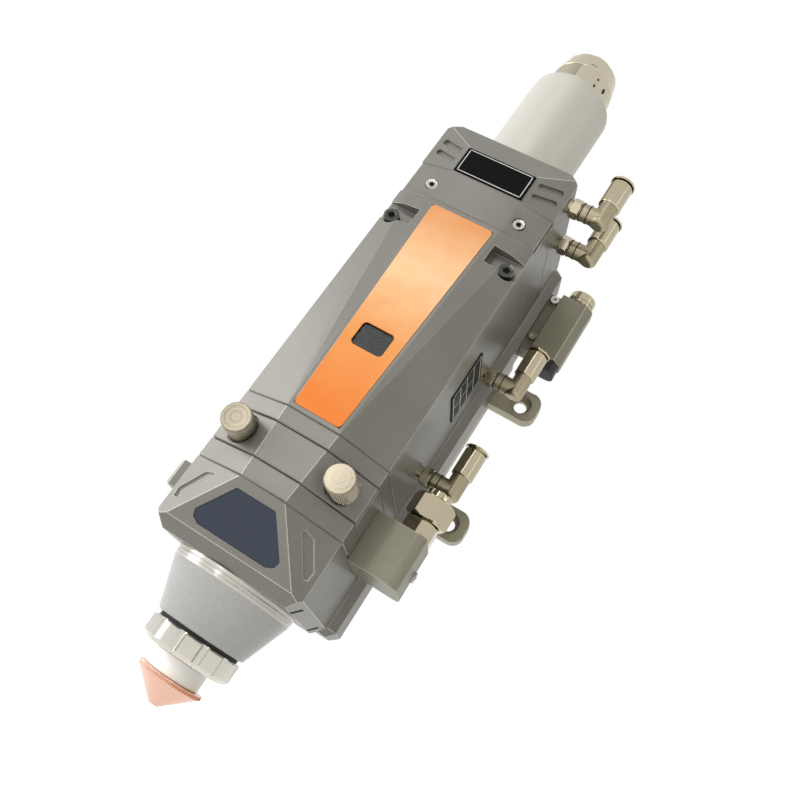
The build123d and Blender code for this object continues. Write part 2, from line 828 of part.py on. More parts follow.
# Socket screws on the front: two in the cover's pockets, two smaller ones in the clamp band
band_screw_length = 5.0
socket_share = 0.43
front_screw_sizes = [
    (cover_screw_x, cover_screw_z, pocket_floor, screw_head_radius, screw_head_height,
     cover_screw_radius, cover_screw_length),
    (band_screw_x, band_screw_z, band_screw_floor, band_screw_radius, band_screw_head,
     band_screw_stem, band_screw_floor - band_rear + band_screw_length),
]
with BuildPart() as front_screws:
    for across, height, floor, head_radius, head_height, shank_radius, shank_length in front_screw_sizes:
        for side in (-1, 1):
            with BuildSketch(facing_front(floor)):
                with Locations((side * across, height)):
                    Circle(head_radius)
            extrude(amount=head_height)
            with BuildSketch(facing_front(floor)):
                with Locations((side * across, height)):
                    Circle(shank_radius)
            extrude(amount=-shank_length)
            with BuildSketch(facing_front(floor + head_height)):
                with Locations((side * across, height)):
                    RegularPolygon(head_radius * socket_share, 6, major_radius=False)
            extrude(amount=-head_height / 2, mode=Mode.SUBTRACT)
front_screws.part.label = "front_screws"
export_step(front_screws.part, "parts/front_screws.step")

# Collimator block behind the clamp band
with BuildPart() as collimator_block:
    with BuildSketch(level(z_clamp)):
        Polygon(
            (-half_width, -band_rear),
            (half_width, -band_rear),
            (half_width, module_rear),
            (-half_width, module_rear),
            align=None,
        )
    extrude(amount=clamp_band_height)
    with Locations(level(z_cap)):
        Hole(spigot_radius + seat_gap)
    with Locations(facing_front(band_rear)):
        with Locations((-band_screw_x, band_screw_z), (band_screw_x, band_screw_z)):
            Hole(band_screw_stem + seat_gap, band_screw_length + 0.5)
collimator_block.part.label = "collimator_block"
export_step(collimator_block.part, "parts/collimator_block.step")

# Top cap: chamfered block with two slanted slots in each side facet
cap_front_chamfer = 13.6
cap_front_top = 28.0
cap_side_chamfer = 5.2
slot_length = 12.0
slot_width = 3.0
slot_depth = 1.2
slot_tilt = 18.0
slot_centres = [(8.7, 13.4), (8.7, 6.9)]
cap_facet_run = half_width - top_facet_half
cap_facet_drop = depth_top - corner_depth
with BuildPart() as top_cap:
    with BuildSketch(level(z_cap)):
        Polygon((-half_width, module_rear), *top_points, (half_width, module_rear), align=None)
    extrude(amount=cap_height)
    chamfer(end_edges(top_cap, 0)[:-1], edge_break)
    split(bisect_by=tilted(depth_top, z_top - cap_front_chamfer, cap_front_top, z_top), keep=Keep.BOTTOM)
    for side in (-1, 1):
        slope = Plane(origin=(side * half_width, 0, z_top - cap_side_chamfer), z_dir=(side, 0, 1))
        split(bisect_by=slope, keep=Keep.BOTTOM)
        cap_facet = Plane(
            origin=(side * top_facet_half, axis_y - depth_top, z_cap),
            x_dir=(cap_facet_run, side * cap_facet_drop, 0),
            z_dir=(side * cap_facet_drop, -cap_facet_run, 0),
        )
        with BuildSketch(cap_facet):
            for x, up in slot_centres:
                with Locations(Location((side * x, up, 0), (0, 0, side * slot_tilt))):
                    SlotOverall(slot_length, slot_width)
        extrude(amount=-slot_depth, mode=Mode.SUBTRACT)
    with BuildSketch(facing_front(depth_top)):
        with Locations((0, z_cap + cap_plate_height / 2 + 0.2)):
            Rectangle(cap_plate_width + 2 * seat_gap, cap_plate_height + 2 * seat_gap)
    extrude(amount=-cap_plate_thickness / 2, mode=Mode.SUBTRACT)
    with Locations(level(z_top)):
        Hole(spigot_radius + seat_gap)
    for name, depth, height, reach in elbow_places:
        if height > z_cap:
            port = Plane(origin=(half_width, axis_y + depth, height), x_dir=(0, 1, 0), z_dir=(1, 0, 0))
            with Locations(port):
                Hole(fitting_neck_radius + seat_gap, port_depth)
top_cap.part.label = "top_cap"
export_step(top_cap.part, "parts/top_cap.step")

# Bare black plate on the cap
with BuildPart() as cap_plate:
    with BuildSketch(facing_front(depth_top - cap_plate_thickness / 2)):
        with Locations((0, z_cap + cap_plate_height / 2 + 0.2)):
            Rectangle(cap_plate_width, cap_plate_height)
    extrude(amount=cap_plate_thickness)
cap_plate.part.label = "cap_plate"
export_step(cap_plate.part, "parts/cap_plate.step")

# Bare plate on the right side of the housing
side_plate_height = 26.5
side_plate_width = 26.0
side_plate_depth = 6.0
side_plate_rise = 60.25
side_plate_centre = (side_plate_depth, z_cover + side_plate_rise)
side_plate_thickness = 0.5
side_plate_corner = 1.0
with BuildPart() as side_plate:
    with BuildSketch(Plane(origin=(half_width, axis_y, 0), x_dir=(0, 1, 0), z_dir=(1, 0, 0))):
        with Locations(side_plate_centre):
            RectangleRounded(side_plate_width, side_plate_height, side_plate_corner)
    extrude(amount=side_plate_thickness)
side_plate.part.label = "side_plate"
export_step(side_plate.part, "parts/side_plate.step")

# Collimator tube with its spigot in the cap and a tapered shoulder
z_tube_top = z_top + tube_length
z_collar = z_tube_top + shoulder_length
z_receiver_seat = z_collar - tube_wall
barrel_radius = tube_radius - tube_wall
receiver_flange = 2.0
flange_radius = receiver_radius + 2.5
with BuildPart() as collimator_tube:
    with BuildSketch(upright()):
        with BuildLine():
            Polyline(
                (barrel_radius, z_clamp),
                (spigot_radius, z_clamp),
                (spigot_radius, z_top),
                (tube_radius, z_top),
                (tube_radius, z_tube_top),
            )
            ThreePointArc(
                (tube_radius, z_tube_top),
                (tube_radius - 1.4, z_tube_top + shoulder_length * 0.45),
                (shoulder_radius, z_collar),
            )
            Polyline(
                (shoulder_radius, z_collar),
                (receiver_radius + seat_gap, z_collar),
                (receiver_radius + seat_gap, z_receiver_seat),
                (flange_radius + 1.0, z_receiver_seat),
                (flange_radius + 1.0, z_receiver_seat - receiver_flange - 0.5),
                (barrel_radius, z_tube_top),
                (barrel_radius, z_clamp),
            )
        make_face()
    revolve(axis=optical_axis)
collimator_tube.part.label = "collimator_tube"
export_step(collimator_tube.part, "parts/collimator_tube.step")

# Collimating lens in its barrel, held on its seat by a rolled-in ring
barrel_low = z_clamp + 6.0
barrel_height = 46.0
collimating_radius = 14.0
collimating_seat_rise = 20.0
collimating_seat = barrel_low + collimating_seat_rise
collimating_edge = 3.0
collimating_bulge = 1.8
collimating_lip_rise = dome_rise(
    collimating_radius, collimating_bulge, collimating_radius - retainer_wall
)
with BuildPart() as collimator_barrel:
    with BuildSketch(level(barrel_low)):
        Circle(barrel_radius - seat_gap)
        Circle(collimating_radius - 2.0, mode=Mode.SUBTRACT)
    extrude(amount=barrel_height)
    with BuildSketch(level(collimating_seat)):
        Circle(collimating_radius + seat_gap)
    extrude(amount=barrel_height, mode=Mode.SUBTRACT)
    with BuildSketch(level(collimating_seat + collimating_edge + collimating_lip_rise)):
        Circle(barrel_radius - seat_gap)
        Circle(collimating_radius - retainer_wall, mode=Mode.SUBTRACT)
    extrude(amount=retainer_height)
collimator_barrel.part.label = "collimator_barrel"
export_step(collimator_barrel.part, "parts/collimator_barrel.step")
collimating_flat, collimating_dome = lens_section(
    collimating_radius, collimating_seat, collimating_edge, collimating_bulge
)
with BuildPart() as collimating_lens:
    with BuildSketch(upright()):
        with BuildLine():
            Polyline(*collimating_flat)
            ThreePointArc(*collimating_dome)
        make_face()
    revolve(axis=optical_axis)
collimating_lens.part.label = "collimating_lens"
export_step(collimating_lens.part, "parts/collimating_lens.step")

# Fibre receiver: fixed socket with a flange inside the shoulder of the tube
z_collar_top = z_collar + collar_length
with BuildPart() as fibre_receiver:
    with BuildSketch(upright()):
        Polygon(
            (fibre_bore_radius, z_receiver_seat - receiver_flange),
            (flange_radius, z_receiver_seat - receiver_flange),
            (flange_radius, z_receiver_seat - seat_gap),
            (receiver_radius, z_receiver_seat - seat_gap),
            (receiver_radius, z_collar_top - 0.5),
            (receiver_radius - 0.5, z_collar_top),
            (fibre_bore_radius + 1.0, z_collar_top),
            (fibre_bore_radius, z_collar_top - 1.0),
            align=None,
        )
    revolve(axis=optical_axis)
fibre_receiver.part.label = "fibre_receiver"
export_step(fibre_receiver.part, "parts/fibre_receiver.step")

# Lock collar: knurled band and coned shoulder that turns round the receiver
collar_low = z_collar + 0.1
collar_groove = 0.5
with BuildPart() as lock_collar:
    with BuildSketch(level(collar_low)):
        Polygon(*ribbed(collar_radius, collar_radius - collar_groove, collar_ribs), align=None)
    extrude(amount=collar_band)
    with BuildSketch(upright()):
        Polygon(
            (receiver_radius, collar_low + collar_band),
            (collar_radius - collar_groove - 0.6, collar_low + collar_band),
            (collar_radius - 2.0, collar_low + collar_band + 1.6),
            (collar_tip_radius + 0.6, z_collar_top - 2.5),
            (collar_tip_radius - 0.8, z_collar_top - 0.6),
            (receiver_radius, z_collar_top - 0.6),
            align=None,
        )
    revolve(axis=optical_axis)
    with Locations(level(z_collar_top)):
        Hole(receiver_radius + running_gap)
lock_collar.part.label = "lock_collar"
export_step(lock_collar.part, "parts/lock_collar.step")

# Nose: bright ring, sensor cone with its threaded spigot, and the seal under it
z_ring = block_bottom_z - ring_height
z_cone = z_ring - cone_height
z_nut = z_cone - seal_gap_height
z_nut_low = z_nut - nut_height
z_ceramic = z_nut_low - ceramic_show
z_rim = z_ceramic - 0.1
spigot_thread = 15.4
nose_bore = 8.0
nut_lip = 1.5
flange_height = 2.4
ceramic_top = z_nut_low + nut_lip + 0.1 + flange_height
with BuildPart() as nose_ring:
    with BuildSketch(upright()):
        Polygon(*rounded_ring(ring_radius, beam_radius - 2.0, z_ring, block_bottom_z, 0.4), align=None)
    revolve(axis=optical_axis)
nose_ring.part.label = "nose_ring"
export_step(nose_ring.part, "parts/nose_ring.step")
with BuildPart() as sensor_cone:
    with BuildSketch(upright()):
        Polygon(
            (nose_bore, ceramic_top),
            (spigot_thread, ceramic_top),
            (spigot_thread, z_cone),
            (cone_low_radius - 0.6, z_cone),
            (cone_low_radius, z_cone + 0.6),
            (cone_top_radius, z_ring - 1.2),
            (cone_top_radius, z_ring),
            (beam_radius - 2.0, z_ring),
            (beam_radius - 2.0, z_ring - cone_height / 2),
            (nose_bore, z_cone),
            align=None,
        )
    revolve(axis=optical_axis)
sensor_cone.part.label = "sensor_cone"
export_step(sensor_cone.part, "parts/sensor_cone.step")
with BuildPart() as nose_seal:
    with BuildSketch(level(z_nut + 0.1)):
        Circle(spigot_thread + 2.2)
        Circle(spigot_thread + seat_gap, mode=Mode.SUBTRACT)
    extrude(amount=seal_gap_height - 0.1)
nose_seal.part.label = "nose_seal"
export_step(nose_seal.part, "parts/nose_seal.step")

# Castellated lock nut that clamps the ceramic
groove_radius = 1.7
with BuildPart() as lock_nut:
    with BuildSketch(upright()):
        Polygon(
            (ceramic_radius + running_gap, z_nut_low),
            (nut_radius - 2.2, z_nut_low),
            (nut_radius, z_nut_low + 2.0),
            (nut_radius, z_nut - 0.6),
            (nut_radius - 0.6, z_nut),
            (spigot_thread + running_gap, z_nut),
            (spigot_thread + running_gap, z_nut_low + nut_lip),
            (ceramic_radius + running_gap, z_nut_low + nut_lip),
            align=None,
        )
    revolve(axis=optical_axis)
    with BuildSketch(level(z_nut_low)):
        with Locations((0, 0)):
            with PolarLocations(nut_radius + 0.5, nut_lands):
                Circle(groove_radius)
    extrude(amount=nut_height, mode=Mode.SUBTRACT)
lock_nut.part.label = "lock_nut"
export_step(lock_nut.part, "parts/lock_nut.step")

# Ceramic body between nut and nozzle
with BuildPart() as ceramic_ring:
    with BuildSketch(upright()):
        Polygon(
            (nozzle_thread_radius + running_gap, z_ceramic),
            (ceramic_radius - 0.5, z_ceramic),
            (ceramic_radius, z_ceramic + 0.5),
            (ceramic_radius, ceramic_top - flange_height),
            (spigot_thread - 0.6, ceramic_top - flange_height),
            (spigot_thread - 0.6, ceramic_top),
            (nozzle_thread_radius + running_gap, ceramic_top),
            align=None,
        )
    revolve(axis=optical_axis)
ceramic_ring.part.label = "ceramic_ring"
export_step(ceramic_ring.part, "parts/ceramic_ring.step")

# Copper nozzle: threaded stem, knurled rim and cone with the beam orifice
z_rim_low = z_rim - nozzle_rim
z_tip = z_rim_low - nozzle_cone
nozzle_stem = 8.0
nozzle_throat = 3.6
rim_groove = 0.4
with BuildPart() as nozzle:
    with BuildSketch(level(z_rim_low)):
        Polygon(*ribbed(nozzle_radius, nozzle_radius - rim_groove, rim_teeth), align=None)
    extrude(amount=nozzle_rim)
    with BuildSketch(upright()):
        Polygon(
            (0, z_tip),
            (nozzle_tip_radius, z_tip),
            (nozzle_radius - rim_groove - 0.1, z_rim_low),
            (nozzle_radius - rim_groove - 0.1, z_rim_low + 0.1),
            (nozzle_thread_radius, z_rim_low + 0.1),
            (nozzle_thread_radius, z_rim + nozzle_stem),
            (0, z_rim + nozzle_stem),
            align=None,
        )
    revolve(axis=optical_axis)
    with BuildSketch(upright()):
        Polygon(
            (0, z_tip),
            (orifice_radius, z_tip),
            (orifice_radius, z_tip + 3.0),
            (nozzle_throat, z_rim + nozzle_stem),
            (0, z_rim + nozzle_stem),
            align=None,
        )
    revolve(axis=optical_axis, mode=Mode.SUBTRACT)
nozzle.part.label = "nozzle"
export_step(nozzle.part, "parts/nozzle.step")

# Air fittings: hex stud, swivelling elbow on its stem, and a sprung release collet
stem_radius = 2.6
stem_end_gap = 0.5
channel_radius = 1.8
tube_stop = 3.3
elbow_back = 0.2
barrel_outer = 4.1
casting_radius = 4.3
casting_round = 2.4
sleeve_break = 0.6
collet_seat = sleeve_top - 8.0
for name, depth, height, reach in elbow_places:
    across = Plane(origin=(half_width, axis_y + depth, height), x_dir=(0, 1, 0), z_dir=(1, 0, 0))
    sleeve = Plane(origin=(half_width + reach, axis_y + depth, height))
    hex_start = fitting_neck_length
    hex_end = hex_start + hex_length
    with BuildPart() as fitting_hex:
        with BuildSketch(across.offset(seat_gap - port_depth)):
            Circle(fitting_neck_radius)
        extrude(amount=port_depth + hex_start)
        with BuildSketch(across.offset(hex_start)):
            RegularPolygon(hex_flat / 2, 6, major_radius=False)
        extrude(amount=hex_length)
        with BuildSketch(across.offset(hex_end)):
            Circle(stem_radius)
        extrude(amount=reach - channel_radius - stem_end_gap - hex_end)
    fitting_hex.part.label = f"fitting_hex_{name}"
    export_step(fitting_hex.part, f"parts/fitting_hex_{name}.step")
    with BuildPart() as fitting_elbow:
        with BuildSketch(across.offset(hex_end + elbow_back)):
            Circle(barrel_outer)
        extrude(amount=reach - hex_end - elbow_back)
        with BuildSketch(sleeve.offset(-casting_radius)):
            Circle(casting_radius)
        extrude(amount=casting_radius + sleeve_low)
        fillet(fitting_elbow.edges().filter_by(GeomType.CIRCLE).sort_by(Axis.Z)[0], casting_round)
        with BuildSketch(sleeve.offset(sleeve_low)):
            Circle(sleeve_radius)
        extrude(amount=sleeve_top - sleeve_low)
        low_edges = fitting_elbow.edges().filter_by(GeomType.CIRCLE).group_by(Axis.Z)[-2]
        chamfer(low_edges.sort_by(SortBy.RADIUS)[-1], sleeve_break)
        with BuildSketch(across.offset(hex_end)):
            Circle(stem_radius + running_gap)
        extrude(amount=reach - hex_end, mode=Mode.SUBTRACT)
        with BuildSketch(sleeve):
            Circle(channel_radius)
        extrude(amount=tube_stop, mode=Mode.SUBTRACT)
        with BuildSketch(sleeve.offset(tube_stop)):
            Circle(tube_port_radius)
        extrude(amount=sleeve_top, mode=Mode.SUBTRACT)
        with BuildSketch(sleeve.offset(collet_seat)):
            Circle(collet_radius + running_gap)
        extrude(amount=sleeve_top, mode=Mode.SUBTRACT)
    fitting_elbow.part.label = f"fitting_elbow_{name}"
    export_step(fitting_elbow.part, f"parts/fitting_elbow_{name}.step")
    with BuildPart() as fitting_collet:
        with BuildSketch(sleeve.offset(collet_seat + collet_travel + 0.2)):
            Circle(collet_radius)
        extrude(amount=sleeve_top - collet_seat)
        with BuildSketch(sleeve.offset(sleeve_top + collet_travel + 0.2)):
            Circle(collet_flange_radius)
        extrude(amount=collet_ring_height)
        with Locations(sleeve.offset(sleeve_top + collet_travel + 0.2 + collet_ring_height)):
            Hole(tube_port_radius)
    fitting_collet.part.label = f"fitting_collet_{name}"
    export_step(fitting_collet.part, f"parts/fitting_collet_{name}.step")

# Gas block on the right of the lower modules, with a plugged cross drilling
gas_outer = half_width + gas_block_width
gas_port_bore = 4.5
gas_port_drill = 12.0
gas_plug_depth = 14.0
gas_plug_rise = 11.0
gas_plug_z = gas_block_low + gas_plug_rise
gas_plug_radius = 2.5
gas_plug_length = 3.0
plug_face = Plane(
    origin=(gas_outer, axis_y + gas_plug_depth, gas_plug_z), x_dir=(0, 1, 0), z_dir=(1, 0, 0)
)
with BuildPart() as gas_block:
    with BuildSketch(level(gas_block_low)):
        with Locations((half_width + gas_block_width / 2, (gas_block_front + gas_block_rear) / 2)):
            Rectangle(gas_block_width, gas_block_rear - gas_block_front)
    extrude(amount=gas_block_height)
    fillet(gas_block.edges().filter_by(Axis.Z).group_by(Axis.X)[-1], 4.0)
    with Locations(level(gas_block_high)):
        with Locations((gas_port_x, gas_port_depth)):
            Hole(gas_port_bore, gas_port_drill)
    with Locations(plug_face):
        Hole(gas_plug_radius, gas_plug_length)
gas_block.part.label = "gas_block"
export_step(gas_block.part, "parts/gas_block.step")

# Gas inlet: screwed-in stud and the large compression nut that turns on it
inlet = Plane(origin=(gas_port_x, axis_y + gas_port_depth, 0))
inlet_hex_height = 8.4
inlet_thread_radius = 5.8
nut_start = gas_block_high + inlet_hex_height + 0.2
nut_body = 10.8
nut_neck = 3.4
nut_neck_radius = 5.6
nut_slots = 6
nut_slot_width = 1.4
nut_slot_depth = 1.0
nut_roof = 3.0
with BuildPart() as gas_inlet:
    with BuildSketch(inlet.offset(gas_block_high - gas_port_drill + 4.0)):
        Circle(gas_port_bore - seat_gap)
    extrude(amount=gas_port_drill - 4.0)
    with BuildSketch(inlet.offset(gas_block_high)):
        RegularPolygon(gas_hex_small / 2, 6, major_radius=False)
    extrude(amount=inlet_hex_height)
    with BuildSketch(inlet.offset(gas_block_high + inlet_hex_height)):
        Circle(inlet_thread_radius)
    extrude(amount=nut_body - nut_roof)
    with Locations(inlet.offset(gas_block_high + inlet_hex_height + nut_body)):
        Hole(gas_tube_radius - 1.0)
gas_inlet.part.label = "gas_inlet"
export_step(gas_inlet.part, "parts/gas_inlet.step")
with BuildPart() as gas_nut:
    with BuildSketch(inlet.offset(nut_start)):
        RegularPolygon(gas_hex_large / 2, 6, major_radius=False, rotation=30)
    extrude(amount=nut_body)
    with BuildSketch(inlet.offset(nut_start + nut_body)):
        Circle(nut_neck_radius)
    extrude(amount=nut_neck)
    with BuildSketch(inlet.offset(nut_start + nut_body)):
        with Locations((0, 0)):
            with PolarLocations(nut_neck_radius, nut_slots):
                Rectangle(2 * nut_slot_depth, nut_slot_width)
    extrude(amount=nut_neck, mode=Mode.SUBTRACT)
    with BuildSketch(inlet.offset(nut_start)):
        Circle(inlet_thread_radius + running_gap)
    extrude(amount=nut_body - nut_roof, mode=Mode.SUBTRACT)
    with Locations(inlet.offset(nut_start + nut_body + nut_neck)):
        Hole(gas_tube_radius)
gas_nut.part.label = "gas_nut"
export_step(gas_nut.part, "parts/gas_nut.step")

# Drive connector: stepped block on the side of the spine, screw cap above, gland below
connector_outer = spine_half + connector_reach
connector_centre = (
    (connector_outer + spine_half + connector_foot) / 2 + 0.5,
    (connector_front + connector_rear) / 2,
)
with BuildPart() as drive_connector:
    with BuildSketch(level(connector_low)):
        Polygon(
            (spine_half, connector_step),
            (spine_half + connector_foot, connector_step),
            (spine_half + connector_foot, connector_front),
            (connector_outer - connector_front_corner, connector_front),
            (connector_outer, connector_front + connector_front_corner),
            (connector_outer, connector_rear - connector_rear_corner),
            (connector_outer - connector_rear_corner, connector_rear),
            (spine_half, connector_rear),
            align=None,
        )
    extrude(amount=connector_height)
drive_connector.part.label = "drive_connector"
export_step(drive_connector.part, "parts/drive_connector.step")

# Small screws on the right: the plug of the gas block and two that hold the connector
side_screw_height = 1.4
connector_screw_x = spine_half + connector_foot / 2
connector_screw_radius = 2.2
connector_screw_height = 2.4
connector_screw_rows = (connector_low + 8.3, connector_high - 3.7)
with BuildPart() as side_screws:
    with BuildSketch(plug_face.offset(seat_gap - gas_plug_length)):
        Circle(gas_plug_radius - seat_gap)
    extrude(amount=gas_plug_length - seat_gap + side_screw_height)
    with BuildSketch(plug_face.offset(side_screw_height)):
        RegularPolygon(gas_plug_radius * socket_share, 6, major_radius=False)
    extrude(amount=-side_screw_height, mode=Mode.SUBTRACT)
    for row in connector_screw_rows:
        with BuildSketch(facing_front(-connector_step)):
            with Locations((connector_screw_x, row)):
                Circle(connector_screw_radius)
        extrude(amount=connector_screw_height)
        with BuildSketch(facing_front(connector_screw_height - connector_step)):
            with Locations((connector_screw_x, row)):
                RegularPolygon(connector_screw_radius * socket_share, 6, major_radius=False)
        extrude(amount=-connector_screw_height / 2, mode=Mode.SUBTRACT)
side_screws.part.label = "side_screws"
export_step(side_screws.part, "parts/side_screws.step")

with BuildPart() as connector_gland:
    with BuildSketch(level(connector_low - gland_height)):
        with Locations(connector_centre):
            RectangleRounded(gland_width, gland_depth, gland_corner)
    extrude(amount=gland_height)
connector_gland.part.label = "connector_gland"
export_step(connector_gland.part, "parts/connector_gland.step")
with BuildPart() as connector_cap:
    with BuildSketch(level(connector_high + 0.1)):
        with Locations(connector_centre):
            Circle(connector_cap_radius)
    extrude(amount=connector_cap_height)
    chamfer(connector_cap.faces().sort_by(Axis.Z)[-1].edges(), connector_cap_chamfer)
connector_cap.part.label = "connector_cap"
export_step(connector_cap.part, "parts/connector_cap.step")

# Small terminal block on the left of the nose block
terminal_low = block_bottom_z + 15.2
terminal_height = 11.8
terminal_reach = 8.5
with BuildPart() as terminal_block:
    with BuildSketch(level(terminal_low)):
        with Locations((-half_width - terminal_reach / 2, -15.0)):
            Rectangle(terminal_reach, 10.0)
    extrude(amount=terminal_height)
    chamfer(terminal_block.faces().sort_by(Axis.X)[0].edges(), 1.0)
terminal_block.part.label = "terminal_block"
export_step(terminal_block.part, "parts/terminal_block.step")
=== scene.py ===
"""Laser cutting head: faceted aluminium modules stacked on a rear spine, in metres, in the
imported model's own frame. The optical axis stands at x = 0 and y = -62 mm, the faceted front
faces -Y, and the gas and air fittings are on the +X side.
"""
import math

import bmesh
import bpy
from mathutils import Matrix, Vector


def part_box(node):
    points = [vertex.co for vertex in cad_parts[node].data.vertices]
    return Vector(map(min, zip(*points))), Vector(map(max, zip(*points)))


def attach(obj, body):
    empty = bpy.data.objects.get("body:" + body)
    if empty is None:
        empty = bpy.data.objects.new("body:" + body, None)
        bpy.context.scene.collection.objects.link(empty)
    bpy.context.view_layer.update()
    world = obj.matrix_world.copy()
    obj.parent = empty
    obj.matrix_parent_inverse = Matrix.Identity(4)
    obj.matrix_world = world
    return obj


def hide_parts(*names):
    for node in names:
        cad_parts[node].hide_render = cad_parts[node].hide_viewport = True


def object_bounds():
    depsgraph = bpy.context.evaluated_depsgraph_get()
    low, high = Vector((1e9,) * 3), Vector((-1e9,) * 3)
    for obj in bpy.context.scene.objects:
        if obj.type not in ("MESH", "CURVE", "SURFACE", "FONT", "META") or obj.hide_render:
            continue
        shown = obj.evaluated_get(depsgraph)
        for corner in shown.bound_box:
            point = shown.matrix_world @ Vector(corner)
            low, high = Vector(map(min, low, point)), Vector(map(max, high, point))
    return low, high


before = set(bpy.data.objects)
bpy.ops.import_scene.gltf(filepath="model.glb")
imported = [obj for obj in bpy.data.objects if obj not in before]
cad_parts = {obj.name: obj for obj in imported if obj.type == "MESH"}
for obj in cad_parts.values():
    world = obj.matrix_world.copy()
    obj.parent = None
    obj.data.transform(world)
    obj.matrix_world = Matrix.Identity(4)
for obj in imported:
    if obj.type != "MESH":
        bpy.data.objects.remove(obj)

cad_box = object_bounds()
scene = bpy.context.scene


# Camera. It stands low, to the right of the front, and is rolled, so that the head crosses
# the picture from the upper right to the lower left. Its focal length is one picture width.
mm = 0.001
camera_place = Vector((100.69, -378.21, -128.55)) * mm
picture_right = Vector((0.8466, 0.0418, 0.5306)).normalized()
picture_back = picture_right.cross(Vector((-0.4689, -0.4133, 0.7806))).normalized()
picture_up = picture_back.cross(picture_right)
lens = bpy.data.cameras.new("camera")
lens.sensor_width = 36
lens.lens = 36
lens.clip_start = 0.01
camera = bpy.data.objects.new("camera", lens)
camera_turn = Matrix((picture_right, picture_up, picture_back)).transposed()
camera.matrix_world = Matrix.Translation(camera_place) @ camera_turn.to_4x4()
scene.collection.objects.link(camera)
scene.camera = camera
scene.view_settings.view_transform = "Standard"


# Studio. Soft light comes mostly from the left and the front, and little from the right. The
# backdrop is white, for the camera and in what metal and glass show.
def add_node(tree, kind, links=None, **settings):
    """Add a node with its settings, and give its inputs a value or another node's output."""
    node = tree.nodes.new(kind)
    for name, value in settings.items():
        setattr(node, name, value)
    for name, value in (links or {}).items():
        if isinstance(value, bpy.types.NodeSocket):
            tree.links.new(value, node.inputs[name])
        else:
            node.inputs[name].default_value = value
    return node


room_base = (0.028, 0.031, 0.023)
cool = (0.97, 0.985, 1.10)
plain = (1.0, 0.985, 0.96)
warm = (1.0, 0.96, 0.76)
# Each window: degrees round from the front to the right, degrees up, degrees out from its middle
# to where it starts to fade and to where it ends, level and tint.
room_windows = [
    (-90, 15, 10, 45, 1.5, cool),
    (-80, -5, 8, 34, 2.6, cool),
    (-88, -32, 12, 52, 2.4, cool),
    (-34, -16, 8, 48, 2.2, cool),
    (-35, 38, 10, 43, 1.35, plain),
    (32, 22, 5, 45, 0.55, warm),
    (15, -45, 5, 48, 0.40, warm),
    (112, 52, 8, 43, 0.95, plain),
    (140, -10, 5, 42, 0.5, plain),
    (0, -90, 25, 50, 1.2, plain),
    (-178, -45, 10, 38, 0.7, plain),
]
world = bpy.data.worlds.new("studio")
world.use_nodes = True
scene.world = world
room = world.node_tree
room.nodes.clear()
direction = add_node(room, "ShaderNodeTexCoord").outputs["Generated"]
room_light = add_node(
    room, "ShaderNodeCombineXYZ", {0: room_base[0], 1: room_base[1], 2: room_base[2]},
).outputs[0]
for around, rise, full, end, level, tint in room_windows:
    bearing = math.radians(around)
    flat = math.cos(math.radians(rise))
    way = (math.sin(bearing) * flat, -math.cos(bearing) * flat, math.sin(math.radians(rise)))
    towards = add_node(room, "ShaderNodeVectorMath", {0: direction, 1: way}, operation="DOT_PRODUCT")
    window = add_node(
        room, "ShaderNodeMapRange",
        {"Value": towards.outputs["Value"], "From Min": math.cos(math.radians(end)),
         "From Max": math.cos(math.radians(full)), "To Min": 0.0, "To Max": level},
        interpolation_type="SMOOTHSTEP",
    )
    room_light = add_node(
        room, "ShaderNodeVectorMath",
        {0: window.outputs[0], 1: tint, 2: room_light}, operation="MULTIPLY_ADD",
    ).outputs[0]
rays = add_node(room, "ShaderNodeLightPath")
seen_through = add_node(
    room, "ShaderNodeMath",
    {0: rays.outputs["Is Camera Ray"], 1: rays.outputs["Is Transmission Ray"]}, operation="MAXIMUM",
)
seen = add_node(
    room, "ShaderNodeMath",
    {0: seen_through.outputs[0], 1: rays.outputs["Is Glossy Ray"]}, operation="MAXIMUM",
)
studio_light = add_node(room, "ShaderNodeBackground", {"Color": room_light, "Strength": 1.0})
backdrop = add_node(room, "ShaderNodeBackground", {"Color": (1, 1, 1, 1), "Strength": 1.0})
mixed = add_node(
    room, "ShaderNodeMixShader",
    {0: seen.outputs[0], 1: studio_light.outputs[0], 2: backdrop.outputs[0]},
)
add_node(room, "ShaderNodeOutputWorld", {"Surface": mixed.outputs[0]})

axis_depth = -62.0
head_middle = Vector((0, axis_depth * mm, 0.0))


def soft_lamp(name, place, width, height, watts, colour=(1, 1, 1)):
    """A rectangular softbox that faces the middle of the head."""
    light = bpy.data.lights.new(name, "AREA")
    light.shape = "RECTANGLE"
    light.size = width
    light.size_y = height
    light.energy = watts
    light.color = colour
    lamp = bpy.data.objects.new(name, light)
    aim = (head_middle - Vector(place)).to_track_quat("-Z", "Y")
    lamp.matrix_world = Matrix.Translation(Vector(place)) @ aim.to_matrix().to_4x4()
    scene.collection.objects.link(lamp)


soft_lamp("left_softbox", (-1.05, -0.40, 0.0), 0.5, 0.9, 6.0)
soft_lamp("front_strip", (-0.35, -1.10, 0.30), 0.12, 0.8, 2.0)
soft_lamp("right_strip", (0.80, -0.50, 0.45), 0.10, 0.6, 0.2, (1.0, 0.98, 0.95))

